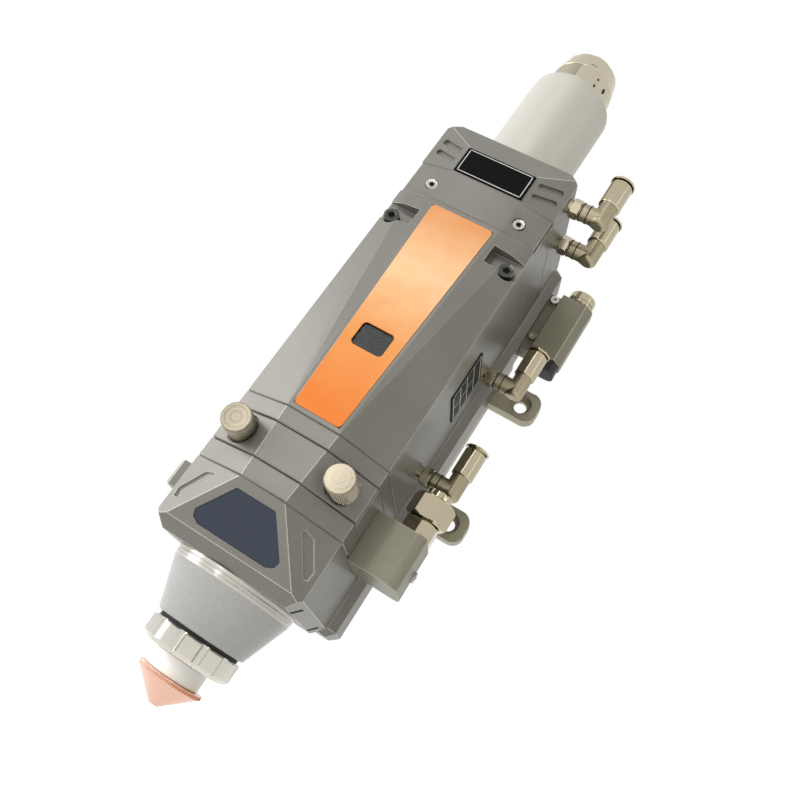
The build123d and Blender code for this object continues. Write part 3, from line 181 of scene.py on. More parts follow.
# Floor: a pale sheet well below the head, which hangs on its mounting plate. The camera and
# the metals see it white, with the head's shadow.
floor_drop = 100 * mm
floor_reach = 3.0
floor_low = cad_box[0][2] - floor_drop
floor_shape = bmesh.new()
bmesh.ops.create_grid(floor_shape, x_segments=1, y_segments=1, size=floor_reach)
bmesh.ops.translate(floor_shape, verts=floor_shape.verts, vec=(0, 0, floor_low))
floor_mesh = bpy.data.meshes.new("floor")
floor_shape.to_mesh(floor_mesh)
floor_shape.free()
floor_paper = bpy.data.materials.new("floor_paper")
floor_paper.use_nodes = True
paper = floor_paper.node_tree
paper.nodes.clear()
paper_rays = add_node(paper, "ShaderNodeLightPath")
paper_diffuse = add_node(paper, "ShaderNodeBsdfDiffuse", {"Color": (0.86, 0.86, 0.85, 1)})
paper_glow = add_node(paper, "ShaderNodeEmission", {"Color": (1, 1, 1, 1), "Strength": 0.60})
paper_both = add_node(paper, "ShaderNodeAddShader", {0: paper_diffuse.outputs[0], 1: paper_glow.outputs[0]})
paper_shown = add_node(
    paper, "ShaderNodeMath",
    {0: paper_rays.outputs["Is Camera Ray"], 1: paper_rays.outputs["Is Glossy Ray"]}, operation="MAXIMUM",
)
paper_mix = add_node(
    paper, "ShaderNodeMixShader",
    {0: paper_shown.outputs[0], 1: paper_diffuse.outputs[0], 2: paper_both.outputs[0]},
)
add_node(paper, "ShaderNodeOutputMaterial", {"Surface": paper_mix.outputs[0]})
floor_mesh.materials.append(floor_paper)
floor = bpy.data.objects.new("floor", floor_mesh)
scene.collection.objects.link(floor)


# Milled modules and spine. Aluminium blocks, milled, bead blasted and anodised mid grey, bolted
# in a stack to the spine. The eye sees a fine satin grain. Their broken edges are given a lighter
# colour: a painted highlight, partly also the thinner oxide there.
def linear(hex_colour):
    """Linear colour of an sRGB hex value."""
    parts = [int(hex_colour[i:i + 2], 16) / 255 for i in (1, 3, 5)]
    return tuple(p / 12.92 if p <= 0.04045 else ((p + 0.055) / 1.055) ** 2.4 for p in parts) + (1.0,)


def shaded(colour, factor):
    """A linear colour made lighter or darker."""
    return tuple(min(1.0, part * factor) for part in colour[:3]) + (1.0,)


def colour_stops(node, stops):
    """Give a colour ramp its stops, each a place from 0 to 1 and a linear colour."""
    bands = node.color_ramp.elements
    while len(bands) < len(stops):
        bands.new(0.5)
    for band, (place, colour) in zip(bands, stops):
        band.position = place
        band.color = colour


def new_finish(name, settings):
    """A material with these settings on its main shader: its node tree and that shader."""
    finish = bpy.data.materials.new(name)
    finish.use_nodes = True
    shader = finish.node_tree.nodes["Principled BSDF"]
    for socket, value in settings.items():
        shader.inputs[socket].default_value = value
    return finish, finish.node_tree, shader


def anodised(
    name, hex_colour, roughness, metallic=0.3, cloud_mm=22.0, grain_mm=0.55, grain_depth_mm=0.012,
    painted_sheen_bands=None,
):
    """Bead blasted and anodised aluminium: faint clouds in the colour and a fine satin grain.

    The dyed oxide scatters most of the light, so less of it is mirrored than on bare metal. The
    real grain is about 0.1 mm; it is drawn coarser so that it shows at picture scale.
    """
    finish, tree, shader = new_finish(name, {"Metallic": metallic, "Specular IOR Level": 0.12})
    place = add_node(tree, "ShaderNodeTexCoord").outputs["Object"]
    clouds = add_node(
        tree, "ShaderNodeTexNoise", {"Vector": place, "Scale": 1 / (cloud_mm * mm), "Detail": 3.0},
    )
    tint = add_node(tree, "ShaderNodeValToRGB", {"Fac": clouds.outputs["Fac"]})
    colour = linear(hex_colour)
    colour_stops(tint, [(0.3, shaded(colour, 0.95)), (0.7, shaded(colour, 1.05))])
    # Bands of colour by height: a painted reflection, paler where the face mirrors the bright room.
    if painted_sheen_bands:
        cloud_share = 0.16
        low, high = painted_sheen_bands[0][0], painted_sheen_bands[-1][0]
        height = add_node(tree, "ShaderNodeSeparateXYZ", {0: place}).outputs["Z"]
        rise = add_node(
            tree, "ShaderNodeMapRange", {"Value": height, "From Min": low * mm, "From Max": high * mm},
        )
        waver = add_node(
            tree, "ShaderNodeMath",
            {0: clouds.outputs["Fac"], 1: cloud_share, 2: rise.outputs[0]}, operation="MULTIPLY_ADD",
        )
        tree.links.new(waver.outputs[0], tint.inputs["Fac"])
        colour_stops(tint, [
            ((level - low) / (high - low) * (1 - cloud_share) + cloud_share / 2, linear(band_colour))
            for level, band_colour in painted_sheen_bands
        ])
    grain = add_node(
        tree, "ShaderNodeTexNoise", {"Vector": place, "Scale": 1 / (grain_mm * mm), "Detail": 2.0},
    )
    speckle = add_node(tree, "ShaderNodeValToRGB", {"Fac": grain.outputs["Fac"]})
    colour_stops(speckle, [(0.3, (0.90, 0.90, 0.90, 1)), (0.7, (1, 1, 1, 1))])
    mixed_tint = add_node(
        tree, "ShaderNodeMix", {0: 1.0, 6: tint.outputs["Color"], 7: speckle.outputs["Color"]},
        data_type="RGBA", blend_type="MULTIPLY",
    )
    satin = add_node(
        tree, "ShaderNodeMapRange",
        {"Value": grain.outputs["Fac"], "To Min": roughness - 0.05, "To Max": roughness + 0.05},
    )
    relief = add_node(
        tree, "ShaderNodeBump",
        {"Height": grain.outputs["Fac"], "Distance": grain_depth_mm * mm, "Strength": 0.6},
    )
    tree.links.new(mixed_tint.outputs[2], shader.inputs["Base Color"])
    tree.links.new(satin.outputs[0], shader.inputs["Roughness"])
    tree.links.new(relief.outputs[0], shader.inputs["Normal"])
    return finish


def keep_piece(name, shape, body, finishes, replaced=(), crease=32):
    """Make a piece of a finished shape, with its place in its mesh, riding on its body."""
    mesh = bpy.data.meshes.new(name)
    shape.to_mesh(mesh)
    shape.free()
    for finish in finishes:
        mesh.materials.append(finish)
    mesh.shade_smooth()
    mesh.set_sharp_from_angle(angle=math.radians(crease))
    piece = bpy.data.objects.new(name, mesh)
    scene.collection.objects.link(piece)
    flat = piece.modifiers.new("flat_faces", "WEIGHTED_NORMAL")
    flat.keep_sharp = True
    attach(piece, body)
    if replaced:
        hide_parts(*replaced)


def merged_copy(node):
    """A copy of a node's mesh with its loose triangles joined."""
    shape = bmesh.new()
    shape.from_mesh(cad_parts[node].data)
    bmesh.ops.remove_doubles(shape, verts=shape.verts, dist=0.004 * mm)
    return shape


def face_width(face):
    """Mean width of a face: its area over its longest side."""
    return face.calc_area() / max(side.calc_length() for side in face.edges)


def broken_edges(node, edge_mm, least_angle=24, least_width=0.8 * mm):
    """A copy of a milled node's mesh with its flats made whole and its long edges broken."""
    shape = merged_copy(node)
    bmesh.ops.dissolve_limit(
        shape, angle_limit=math.radians(0.5), use_dissolve_boundaries=False,
        verts=shape.verts, edges=shape.edges,
    )
    corners = [
        edge for edge in shape.edges
        if len(edge.link_faces) == 2
        and edge.calc_length() > 3.5 * edge_mm * mm
        and edge.calc_face_angle(0) > math.radians(least_angle)
        and min(face_width(face) for face in edge.link_faces) > least_width
    ]
    bmesh.ops.bevel(
        shape, geom=corners, offset=edge_mm * mm, segments=2, profile=0.5, affect="EDGES",
        material=1, clamp_overlap=False,
    )
    return shape


grey = anodised("anodised_grey", "#7f7d76", 0.34)
# Lighter colour on the broken edges: painted highlight, partly also the thinner oxide there.
grey_edge_highlight = anodised("anodised_grey_edge", "#bab8ae", 0.28)
grey_nodes = [
    "spine", "main_housing", "front_cover", "upper_band", "drawer_frame", "lower_band",
    "nose_block", "clamp_band", "collimator_block", "top_cap",
]
for node in grey_nodes:
    keep_piece(
        f"{node}_milled", broken_edges(node, 0.18), "head",
        [grey, grey_edge_highlight], [node],
    )
keep_piece(
    "window_drawer_milled", broken_edges("window_drawer", 0.18), "drawer",
    [grey, grey_edge_highlight], ["window_drawer"],
)

# Mounting plate with its four lugs: milled aluminium, natural anodised, so lighter than the
# stack. It is fixed to the back of the spine.
natural = anodised("anodised_natural", "#b3ad99", 0.38)
# Lighter colour on the broken edges: painted highlight, partly also the thinner oxide there.
natural_edge_highlight = anodised("anodised_natural_edge", "#ccc7b6", 0.3)
keep_piece(
    "mounting_plate_milled", broken_edges("mounting_plate", 0.3), "head",
    [natural, natural_edge_highlight], ["mounting_plate"],
)

# Face plate: 1 mm aluminium sheet, anodised orange, cut with a tapered outline and the window.
# Its colour is paler towards the top, a painted reflection of the bright room above, with faint
# blotches, and its cut edge is lighter: a painted highlight, partly also the thinner oxide there.
orange = anodised(
    "anodised_orange", "#c9743b", 0.42, metallic=0.75, cloud_mm=9.0,
    painted_sheen_bands=[(-45, "#c57035"), (0, "#c98951"), (42, "#dbb48a"), (82, "#d1905c")],
)
# Lighter colour on the cut edge: painted highlight, partly also the thinner oxide there.
orange_edge_highlight = anodised("anodised_orange_edge", "#f0b48a", 0.3)
keep_piece(
    "face_plate_cut", broken_edges("face_plate", 0.12), "head", [orange, orange_edge_highlight],
    ["face_plate"],
)


# Black anodised inner parts of the focusing unit and the collimator, and moulded plastic and
# rubber: seals, motor housing, connector gland and pointer.
def moulded(name, hex_colour, roughness, grain_mm=0.5, depth_mm=0.01, gloss=0.5):
    """Moulded plastic or rubber with a fine texture from its tool."""
    finish, tree, shader = new_finish(
        name, {"Base Color": linear(hex_colour), "Specular IOR Level": gloss},
    )
    place = add_node(tree, "ShaderNodeTexCoord").outputs["Object"]
    grain = add_node(
        tree, "ShaderNodeTexNoise", {"Vector": place, "Scale": 1 / (grain_mm * mm), "Detail": 3.0},
    )
    sheen = add_node(
        tree, "ShaderNodeMapRange",
        {"Value": grain.outputs["Fac"], "To Min": roughness - 0.06, "To Max": roughness + 0.06},
    )
    relief = add_node(
        tree, "ShaderNodeBump",
        {"Height": grain.outputs["Fac"], "Distance": depth_mm * mm, "Strength": 0.5},
    )
    tree.links.new(sheen.outputs[0], shader.inputs["Roughness"])
    tree.links.new(relief.outputs[0], shader.inputs["Normal"])
    return finish


def dressed(nodes, finish):
    """Give nodes whose shape is right their finish."""
    for node in nodes:
        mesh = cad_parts[node].data
        mesh.materials.clear()
        mesh.materials.append(finish)


black = anodised("anodised_black", "#1c1c1c", 0.45, metallic=0.4)
for node in ["focus_carriage", "focus_retainer"]:
    keep_piece(f"{node}_turned", broken_edges(node, 0.2), "focus", [black, black], [node])
keep_piece(
    "collimator_barrel_turned", broken_edges("collimator_barrel", 0.2), "head",
    [black, black], ["collimator_barrel"],
)
black_plastic = moulded("moulded_black", "#191919", 0.5)
black_rubber = moulded("rubber_black", "#141414", 0.7)
dressed(["drawer_seal", "nose_seal"], black_rubber)
dressed(["focus_motor"], moulded("enamel_black", "#1a1a1a", 0.35))
dressed(["connector_gland"], moulded("gland_black", "#151515", 0.42))

# Vents: the recesses milled low on both sides of the nose block, in its 45 degree chamfers. Each
# is a near black box set almost flush under the chamfer: painted shade in place of the recess.
vent_painted_shade = moulded("vent_shadow", "#0b0b0b", 0.8, gloss=0.1)
vent_inset = 2.55 * mm
vent_shift = 1.0 * mm
vent_sunk = 0.42 * mm
vent_form = Matrix.Diagonal((3.2 * mm, 4.9 * mm, 0.9 * mm, 1))
slant = 0.7071
nose_low, nose_high = [Vector(corner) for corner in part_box("nose_block")]
for side, side_name in [(-1, "left"), (1, "right")]:
    slope = Matrix(((0, 1, 0), (slant, 0, slant * side), (slant * side, 0, -slant))).transposed()
    for depth, depth_name in [(-15.0, "front"), (27.0, "rear")]:
        foot = Matrix.Translation(
            (side * (nose_high.x - vent_inset), (depth + axis_depth) * mm, nose_low.z + vent_inset)
        )
        sunk = Matrix.Translation((0, -side * vent_shift, -vent_sunk))
        vent = bmesh.new()
        bmesh.ops.create_cube(vent, size=1.0, matrix=foot @ slope.to_4x4() @ sunk @ vent_form)
        keep_piece(f"vent_{side_name}_{depth_name}", vent, "head", [vent_painted_shade])

# Display panel: a slate blue-grey acrylic pane with a semi-gloss face, glued into the recess of
# the nose block.
dressed(["display_panel"], moulded("display_slate", "#323946", 0.2, depth_mm=0.002, gloss=0.25))

# Scale pointer: a moulded black pad with five ribs, on the focusing carriage. It is seen through
# the window in the face plate.
pad_low, pad_high = [Vector(corner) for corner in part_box("scale_pointer")]
pad_middle = (pad_low + pad_high) / 2
pad_size = pad_high - pad_low
pad = broken_edges("scale_pointer", 0.3)
for rib in range(5):
    ridge_height = pad_low.z + (rib + 1.5) * pad_size.z / 7.5
    ridge = Matrix.Translation((pad_middle.x, pad_low.y + 0.0001, ridge_height)) @ Matrix.Diagonal(
        (pad_size.x * 0.62, 0.0008, 0.0006, 1)
    )
    bmesh.ops.create_cube(pad, size=1.0, matrix=ridge)
keep_piece(
    "scale_pointer_ribbed", pad, "focus", [black_plastic, black_plastic],
    ["scale_pointer"],
)


# Glass: the window over the scale, the drawer's protective window and the two lenses, ground
# and polished, and held by their seats.
def glass(name, hex_colour, roughness=0.02, ior=1.46):
    """Clear polished glass with a faint tint; a low IOR stands for an anti-reflection coating."""
    colour = linear(hex_colour)
    return new_finish(
        name, {"Base Color": colour, "Transmission Weight": 1.0, "IOR": ior, "Roughness": roughness},
    )[0]


dressed(["scale_window"], glass("window_glass", "#464b47", 0.0, ior=1.22))
dressed(["drawer_glass", "focusing_lens", "collimating_lens"], glass("fused_silica", "#e8f2f4"))


# Screws: socket screws of zinc plated steel, and of blackened steel in the cover's pockets. The
# bottoms of their sockets are painted near black: painted shade.
def bright_metal(name, hex_colour, roughness, scratch_mm=0.8, scratch_depth_mm=0.0012):
    """Plated or polished metal with faint scratches and finger marks."""
    finish, tree, shader = new_finish(name, {"Metallic": 1.0, "Base Color": linear(hex_colour)})
    place = add_node(tree, "ShaderNodeTexCoord").outputs["Object"]
    stretched = add_node(tree, "ShaderNodeMapping", {"Vector": place, "Scale": (1.0, 1.0, 0.15)})
    scratches = add_node(
        tree, "ShaderNodeTexNoise",
        {"Vector": stretched.outputs[0], "Scale": 1 / (scratch_mm * mm), "Detail": 4.0},
    )
    marks = add_node(tree, "ShaderNodeTexNoise", {"Vector": place, "Scale": 1 / (6.0 * mm), "Detail": 2.0})
    both = add_node(
        tree, "ShaderNodeMath",
        {0: scratches.outputs["Fac"], 1: marks.outputs["Fac"]}, operation="MULTIPLY",
    )
    polish = add_node(
        tree, "ShaderNodeMapRange",
        {"Value": both.outputs[0], "From Min": 0.1, "From Max": 0.45,
         "To Min": max(0.03, roughness - 0.03), "To Max": roughness + 0.05},
    )
    relief = add_node(
        tree, "ShaderNodeBump",
        {"Height": scratches.outputs["Fac"], "Distance": scratch_depth_mm * mm, "Strength": 0.4},
    )
    tree.links.new(polish.outputs[0], shader.inputs["Roughness"])
    tree.links.new(relief.outputs[0], shader.inputs["Normal"])
    return finish


steel = bright_metal("screw_steel", "#bdbab2", 0.22)
black_oxide = bright_metal("black_oxide_steel", "#504f4b", 0.27)
recess_painted_shade = moulded("socket_shadow", "#0c0c0c", 0.8)


def socket_screws(node, heads, dark_below):
    """A copy of a node's screws whose sockets, each a centre, axis, radius and depth, are painted near
    black: painted shade.

    The screws below a height are of blackened steel.
    """
    shape = merged_copy(node)
    for face in shape.faces:
        face.material_index = 2 if face.calc_center_median().z < dark_below else 0
    for centre, axis, radius, depth in heads:
        for face in shape.faces:
            away = face.calc_center_median() - centre
            along = away.dot(axis)
            if -depth < along < -0.0001 and (away - axis * along).length < radius:
                face.material_index = 1
    keep_piece(
        f"{node}_socketed", shape, "head", [steel, recess_painted_shade, black_oxide], [node],
    )


front = Vector((0, -1, 0))
cover_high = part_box("front_cover")[1][2]
# Each pair of screws, in mm: out from the middle, in front of the axis, over the cover's top,
# and its socket's radius and depth.
front_sockets = [(28.5, 32.0, -15.1, 1.7, 2.5), (21.8, 32.1, 7.8, 1.4, 1.6)]
front_heads = []
for side in (-1, 1):
    for out, ahead, over, radius, depth in front_sockets:
        head = Vector((side * out * mm, (axis_depth - ahead) * mm, cover_high + over * mm))
        front_heads.append((head, front, radius * mm, depth * mm))
socket_screws("front_screws", front_heads, cover_high - 6.0 * mm)
dressed(["side_screws"], steel)
dressed(["guide_rods", "lead_screw", "fibre_receiver"], bright_metal("ground_steel", "#a9a9a8", 0.2))


# Collimator tube: turned from bar, bead blasted and anodised champagne silver. The eye sees a
# soft satin sheen with faint rings from the lathe, drawn 0.6 mm apart so that they show. Its
# end is flat with a rounded corner, where the solid has a dome, as the photograph shows it.
def turned_metal(name, hex_colour, roughness, metallic=0.55, ring_mm=0.6, ring_depth_mm=0.004):
    """Turned and satin finished metal with fine rings round the upright axis."""
    finish, tree, shader = new_finish(name, {"Metallic": metallic})
    place = add_node(tree, "ShaderNodeTexCoord").outputs["Object"]
    rings = add_node(
        tree, "ShaderNodeTexWave",
        {"Vector": place, "Scale": 1 / (ring_mm * mm) / 20, "Distortion": 0.6, "Detail": 2.0},
        wave_type="BANDS", bands_direction="Z",
    )
    grain = add_node(tree, "ShaderNodeTexNoise", {"Vector": place, "Scale": 1 / (0.5 * mm), "Detail": 2.0})
    colour = linear(hex_colour)
    tint = add_node(tree, "ShaderNodeValToRGB", {"Fac": grain.outputs["Fac"]})
    colour_stops(tint, [(0.3, shaded(colour, 0.94)), (0.7, shaded(colour, 1.03))])
    satin = add_node(
        tree, "ShaderNodeMapRange",
        {"Value": grain.outputs["Fac"], "To Min": roughness - 0.04, "To Max": roughness + 0.06},
    )
    relief = add_node(
        tree, "ShaderNodeBump",
        {"Height": rings.outputs["Fac"], "Distance": ring_depth_mm * mm, "Strength": 0.5},
    )
    tree.links.new(tint.outputs["Color"], shader.inputs["Base Color"])
    tree.links.new(satin.outputs[0], shader.inputs["Roughness"])
    tree.links.new(relief.outputs[0], shader.inputs["Normal"])
    return finish


def eased(outline, ease_mm):
    """A closed outline with each corner cut by a small chamfer."""
    points = [Vector(point) for point in outline]
    result = []
    for before, here, after in zip(points[-1:] + points[:-1], points, points[1:] + points[:1]):
        for other in (before, after):
            side = other - here
            result.append(here + side.normalized() * min(ease_mm, side.length * 0.35))
    return result


def turned(outline, steps=96, ease_mm=0.2):
    """A turned ring: its closed (radius, height) outline in mm, eased and spun round the z axis."""
    shape = bmesh.new()
    corners = eased(outline, ease_mm) if ease_mm else [Vector(point) for point in outline]
    verts = [shape.verts.new((point.x * mm, 0, point.y * mm)) for point in corners]
    edges = [shape.edges.new(pair) for pair in zip(verts, verts[1:] + verts[:1])]
    bmesh.ops.spin(
        shape, geom=verts + edges, cent=(0, 0, 0), axis=(0, 0, 1), angle=2 * math.pi,
        steps=steps, use_merge=True,
    )
    bmesh.ops.remove_doubles(shape, verts=shape.verts, dist=0.001 * mm)
    bmesh.ops.recalc_face_normals(shape, faces=shape.faces)
    return shape


def set_down(shape, place):
    """Move a finished shape from its own axis to its place."""
    bmesh.ops.transform(shape, matrix=place, verts=shape.verts)
    return shape


def heights(node):
    """Lowest and highest height of a node in mm."""
    low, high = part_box(node)
    return low[2] / mm, high[2] / mm


optical_axis = Matrix.Translation((0, axis_depth * mm, 0))
tube_silver = turned_metal("anodised_champagne", "#c0bdb2", 0.42)
tube_low, tube_high = heights("collimator_tube")
cap_top = heights("top_cap")[1]
tube_end = tube_high - 7.5
tube = turned(
    [
        (18.4, tube_low), (20.0, tube_low), (20.0, cap_top), (21.4, cap_top + 0.05),
        (21.4, tube_end - 3.6), (21.2, tube_end - 2.3), (20.6, tube_end - 1.2), (19.7, tube_end - 0.4),
        (18.6, tube_end), (12.3, tube_end), (12.3, tube_high), (9.5, tube_high),
        (9.5, tube_high - 5.0), (11.0, tube_end - 1.5), (18.4, tube_end - 3.0),
    ],
    steps=128, ease_mm=0.25,
)
keep_piece(
    "collimator_tube_turned", set_down(tube, optical_axis), "head", [tube_silver],
    ["collimator_tube"],
)

# Lock collar: turned brass, nickel plated, that turns round the fibre socket. Two sectors of
# its band have a fine straight knurl; a red dot and three dark engraved marks in the smooth
# sector and over it show its place.
nickel_satin = bright_metal("nickel_satin", "#c4c1b8", 0.16)
nickel_polished = bright_metal("nickel_polished", "#bfb8a3", 0.2)
nickel_shadow = bright_metal("nickel_knurl_painted_shade", "#5c5748", 0.3)
collar_low, collar_high = heights("lock_collar")
collar_foot = collar_low - 7.3


def fluted(shape, steps, low, high, radius, depth_mm, smooth=(0, 0)):
    """Press every second row of points inwards between two heights, except in a smooth sector."""
    for vert in shape.verts:
        around = math.degrees(math.atan2(vert.co.x, -vert.co.y))
        step = round(around * steps / 360)
        inside = low - 0.01 < vert.co.z / mm < high + 0.01 and vert.co.xy.length > radius * mm
        if step % 2 and inside and not smooth[0] < around < smooth[1]:
            vert.co.xy *= 1 - depth_mm * mm / vert.co.xy.length
    return shape


collar_steps = 180
knurl_foot = collar_foot + 0.4
knurl_top = collar_foot + 11.4
smooth_sector = (-8, 95)
collar = turned(
    [
        (9.48, collar_low), (12.5, collar_low), (12.5, collar_foot), (15.9, collar_foot),
        (16.4, knurl_foot), (16.4, knurl_top), (16.1, collar_foot + 11.7), (16.0, collar_foot + 12.1),
        (16.2, collar_foot + 12.3), (14.3, collar_foot + 21.4), (14.1, collar_foot + 21.5),
        (14.1, collar_foot + 21.8), (14.2, collar_foot + 21.9), (12.9, collar_foot + 23.0),
        (10.6, collar_foot + 23.2), (10.2, collar_high),
        (9.48, collar_high),
    ],
    steps=collar_steps, ease_mm=0.0,
)
fluted(collar, collar_steps, knurl_foot, knurl_top, 16.2, 0.35, smooth=smooth_sector)
# The faces on one side of each knurl tooth take a dark nickel: painted shade, so that the knurl shows.
for face in collar.faces:
    middle = face.calc_center_median()
    around = math.degrees(math.atan2(middle.x, -middle.y))
    in_band = knurl_foot < middle.z / mm < knurl_top
    knurled = in_band and not smooth_sector[0] < around < smooth_sector[1]
    if knurled and middle.xy.length > 15.5 * mm and math.floor(around * collar_steps / 360) % 2:
        face.material_index = 1
keep_piece(
    "lock_collar_knurled", set_down(collar, optical_axis), "lock_collar", [nickel_polished, nickel_shadow],
    ["lock_collar"], crease=20,
)
red_enamel = moulded("red_enamel", "#a02020", 0.35)
mark_black = moulded("engraved_black", "#17150f", 0.6)
collar_marks = [  # name, degrees round, height over the foot, radius there, across, up, finish
    ("collar_dot", 32, 8.2, 16.4, 1.5, 1.5, red_enamel),
    ("collar_mark_wide", 53, 6.4, 16.4, 1.9, 3.4, mark_black),
    ("collar_mark_small", 32, 3.6, 16.4, 1.2, 2.0, mark_black),
    ("collar_mark_line", 12, 14.4, 15.7, 3.2, 0.45, mark_black),
]
for name, around, up, out, across_size, up_size, finish in collar_marks:
    mark = bmesh.new()
    bmesh.ops.create_circle(mark, cap_ends=True, segments=20, radius=0.5)
    set_down(mark, Matrix.Diagonal((across_size * mm, up_size * mm, 1, 1)))
    grown = bmesh.ops.extrude_face_region(mark, geom=mark.faces[:])
    top = [part for part in grown["geom"] if isinstance(part, bmesh.types.BMVert)]
    bmesh.ops.translate(mark, verts=top, vec=(0, 0, 0.12 * mm))
    bmesh.ops.recalc_face_normals(mark, faces=mark.faces)
    stand = Matrix.Rotation(math.radians(around), 4, "Z") @ Matrix.Translation(
        (0, (0.04 - out) * mm, (collar_foot + up) * mm)
    ) @ Matrix.Rotation(math.radians(90 if up < 12.0 else 78), 4, "X")
    set_down(mark, optical_axis @ stand)
    keep_piece(name, mark, "lock_collar", [finish])

# Nose ring: a bright turned ring with a shallow groove round it, between the nose block and the
# cone.
ring_low, ring_high = heights("nose_ring")
bright_turned = turned_metal("turned_bright", "#c3c0b7", 0.2, ring_depth_mm=0.002)
nose_ring = turned(
    [
        (13.0, ring_low), (27.2, ring_low), (27.2, ring_low + 1.1), (26.9, ring_low + 1.25),
        (26.9, ring_low + 1.5), (27.2, ring_low + 1.65), (27.2, ring_high), (13.0, ring_high),
    ],
    steps=128, ease_mm=0.08,
)
keep_piece(
    "nose_ring_turned", set_down(nose_ring, optical_axis), "head", [bright_turned],
    ["nose_ring"],
)

# Sensor cone: turned, bead blasted and anodised dark silver, with a bright lip at its top.
cone_silver = anodised("anodised_cone", "#a8a7a3", 0.26, metallic=0.4, grain_depth_mm=0.006)
cone_low, cone_high = heights("sensor_cone")
cone_foot = cone_high - 21.2
cone = turned(
    [
        (8.0, cone_low), (15.4, cone_low), (15.4, cone_foot), (19.1, cone_foot),
        (19.6, cone_foot + 0.5), (26.8, cone_high - 1.2), (26.8, cone_high), (13.0, cone_high),
        (13.0, cone_high - 10.6), (8.0, cone_foot),
    ],
    steps=128, ease_mm=0.12,
)
for face in cone.faces:
    if face.calc_center_median().z > (cone_high - 1.3) * mm:
        face.material_index = 1
keep_piece(
    "sensor_cone_turned", set_down(cone, optical_axis), "head", [cone_silver, bright_turned],
    ["sensor_cone"], crease=20,
)

# Castellated lock nut: turned brass, nickel plated, with twelve round flutes milled across its
# rim for a hook spanner.
nickel = bright_metal("nickel_plated_brass", "#b5ab92", 0.13)
nut_low, nut_high = heights("lock_nut")
nut_flutes = 12
flute_radius = 1.7
flute_centre = 19.9
nut = turned(
    [
        (11.48, nut_low), (16.9, nut_low), (17.5, nut_low + 0.35), (18.9, nut_low + 1.5),
        (19.4, nut_low + 2.0), (19.4, nut_high - 0.6), (18.8, nut_high), (15.48, nut_high),
        (15.48, nut_low + 1.5), (11.48, nut_low + 1.5),
    ],
    steps=nut_flutes * 24, ease_mm=0.0,
)
for vert in nut.verts:
    out = vert.co.xy.length / mm
    around = math.degrees(math.atan2(vert.co.y, vert.co.x)) * nut_flutes / 360
    off = math.radians((around - round(around)) * 360 / nut_flutes)
    aside = flute_centre * math.sin(off)
    if out > 16 and abs(aside) < flute_radius:
        floor_out = flute_centre * math.cos(off) - math.sqrt(flute_radius ** 2 - aside ** 2)
        vert.co.xy *= min(1.0, floor_out / out)
keep_piece(
    "lock_nut_fluted", set_down(nut, optical_axis), "lock_nut", [nickel_satin],
    ["lock_nut"], crease=24,
)

# Ceramic body: pressed and fired alumina, off-white and slightly glossy, clamped by the lock
# nut.
dressed(["ceramic_ring"], moulded("fired_alumina", "#f7f5ef", 0.32))

# Nozzle: turned copper, left bare, with fine lathe rings on the cone and a thin rim with small
# teeth, one side of each painted darker: painted shade. It screws into the ceramic body.
copper = turned_metal("turned_copper", "#e6b9a3", 0.22, ring_mm=0.5, ring_depth_mm=0.004)
copper_painted_shade = turned_metal("turned_copper_dark", "#c58663", 0.3, ring_mm=0.5)
nozzle_low, nozzle_high = heights("nozzle")
rim_low = nozzle_low + 9.6
rim_high = rim_low + 1.6
nozzle_steps = 160
nozzle = turned(
    [
        (1.0, nozzle_low), (2.0, nozzle_low), (2.3, nozzle_low + 0.15), (13.6, rim_low),
        (14.0, rim_low + 0.25), (14.0, rim_high - 0.25), (13.7, rim_high), (5.5, rim_high),
        (5.5, nozzle_high), (3.6, nozzle_high), (1.0, nozzle_low + 3.0),
    ],
    steps=nozzle_steps, ease_mm=0.0,
)
fluted(nozzle, nozzle_steps, rim_low + 0.25, rim_high - 0.25, 13.8, 0.4)
# The faces on one side of each tooth take a darker copper: painted shade.
for face in nozzle.faces:
    middle = face.calc_center_median()
    around = math.degrees(math.atan2(middle.x, -middle.y)) * nozzle_steps / 360
    if math.floor(around) % 2 and middle.xy.length > 13.4 * mm and face.normal.z ** 2 < 0.1:
        face.material_index = 1
keep_piece(
    "nozzle_turned_copper", set_down(nozzle, optical_axis), "nozzle", [copper, copper_painted_shade],
    ["nozzle"], crease=24,
)


# Thumb screws: turned brass, nickel plated, with a diamond knurl under a smooth faced top. They
# hold the window drawer shut.
def spun_face(name, hex_colour, roughness, centre, ring_mm=0.35):
    """Plated metal with fine lathe rings on a face that looks to the front."""
    finish, tree, shader = new_finish(name, {"Metallic": 1.0})
    place = add_node(tree, "ShaderNodeTexCoord").outputs["Object"]
    centred = add_node(
        tree, "ShaderNodeMapping", {"Vector": place, "Location": tuple(-part for part in centre)},
    )
    rings = add_node(
        tree, "ShaderNodeTexWave",
        {"Vector": centred.outputs[0], "Scale": 1 / (ring_mm * mm) / 20, "Distortion": 0.4, "Detail": 2.0},
        wave_type="RINGS", rings_direction="Y",
    )
    colour = linear(hex_colour)
    tint = add_node(tree, "ShaderNodeValToRGB", {"Fac": rings.outputs["Fac"]})
    colour_stops(tint, [(0.1, shaded(colour, 0.94)), (0.9, shaded(colour, 1.03))])
    satin = add_node(
        tree, "ShaderNodeMapRange",
        {"Value": rings.outputs["Fac"], "To Min": roughness - 0.03, "To Max": roughness + 0.04},
    )
    relief = add_node(
        tree, "ShaderNodeBump", {"Height": rings.outputs["Fac"], "Distance": 0.003 * mm, "Strength": 0.6},
    )
    tree.links.new(tint.outputs["Color"], shader.inputs["Base Color"])
    tree.links.new(satin.outputs[0], shader.inputs["Roughness"])
    tree.links.new(relief.outputs[0], shader.inputs["Normal"])
    return finish


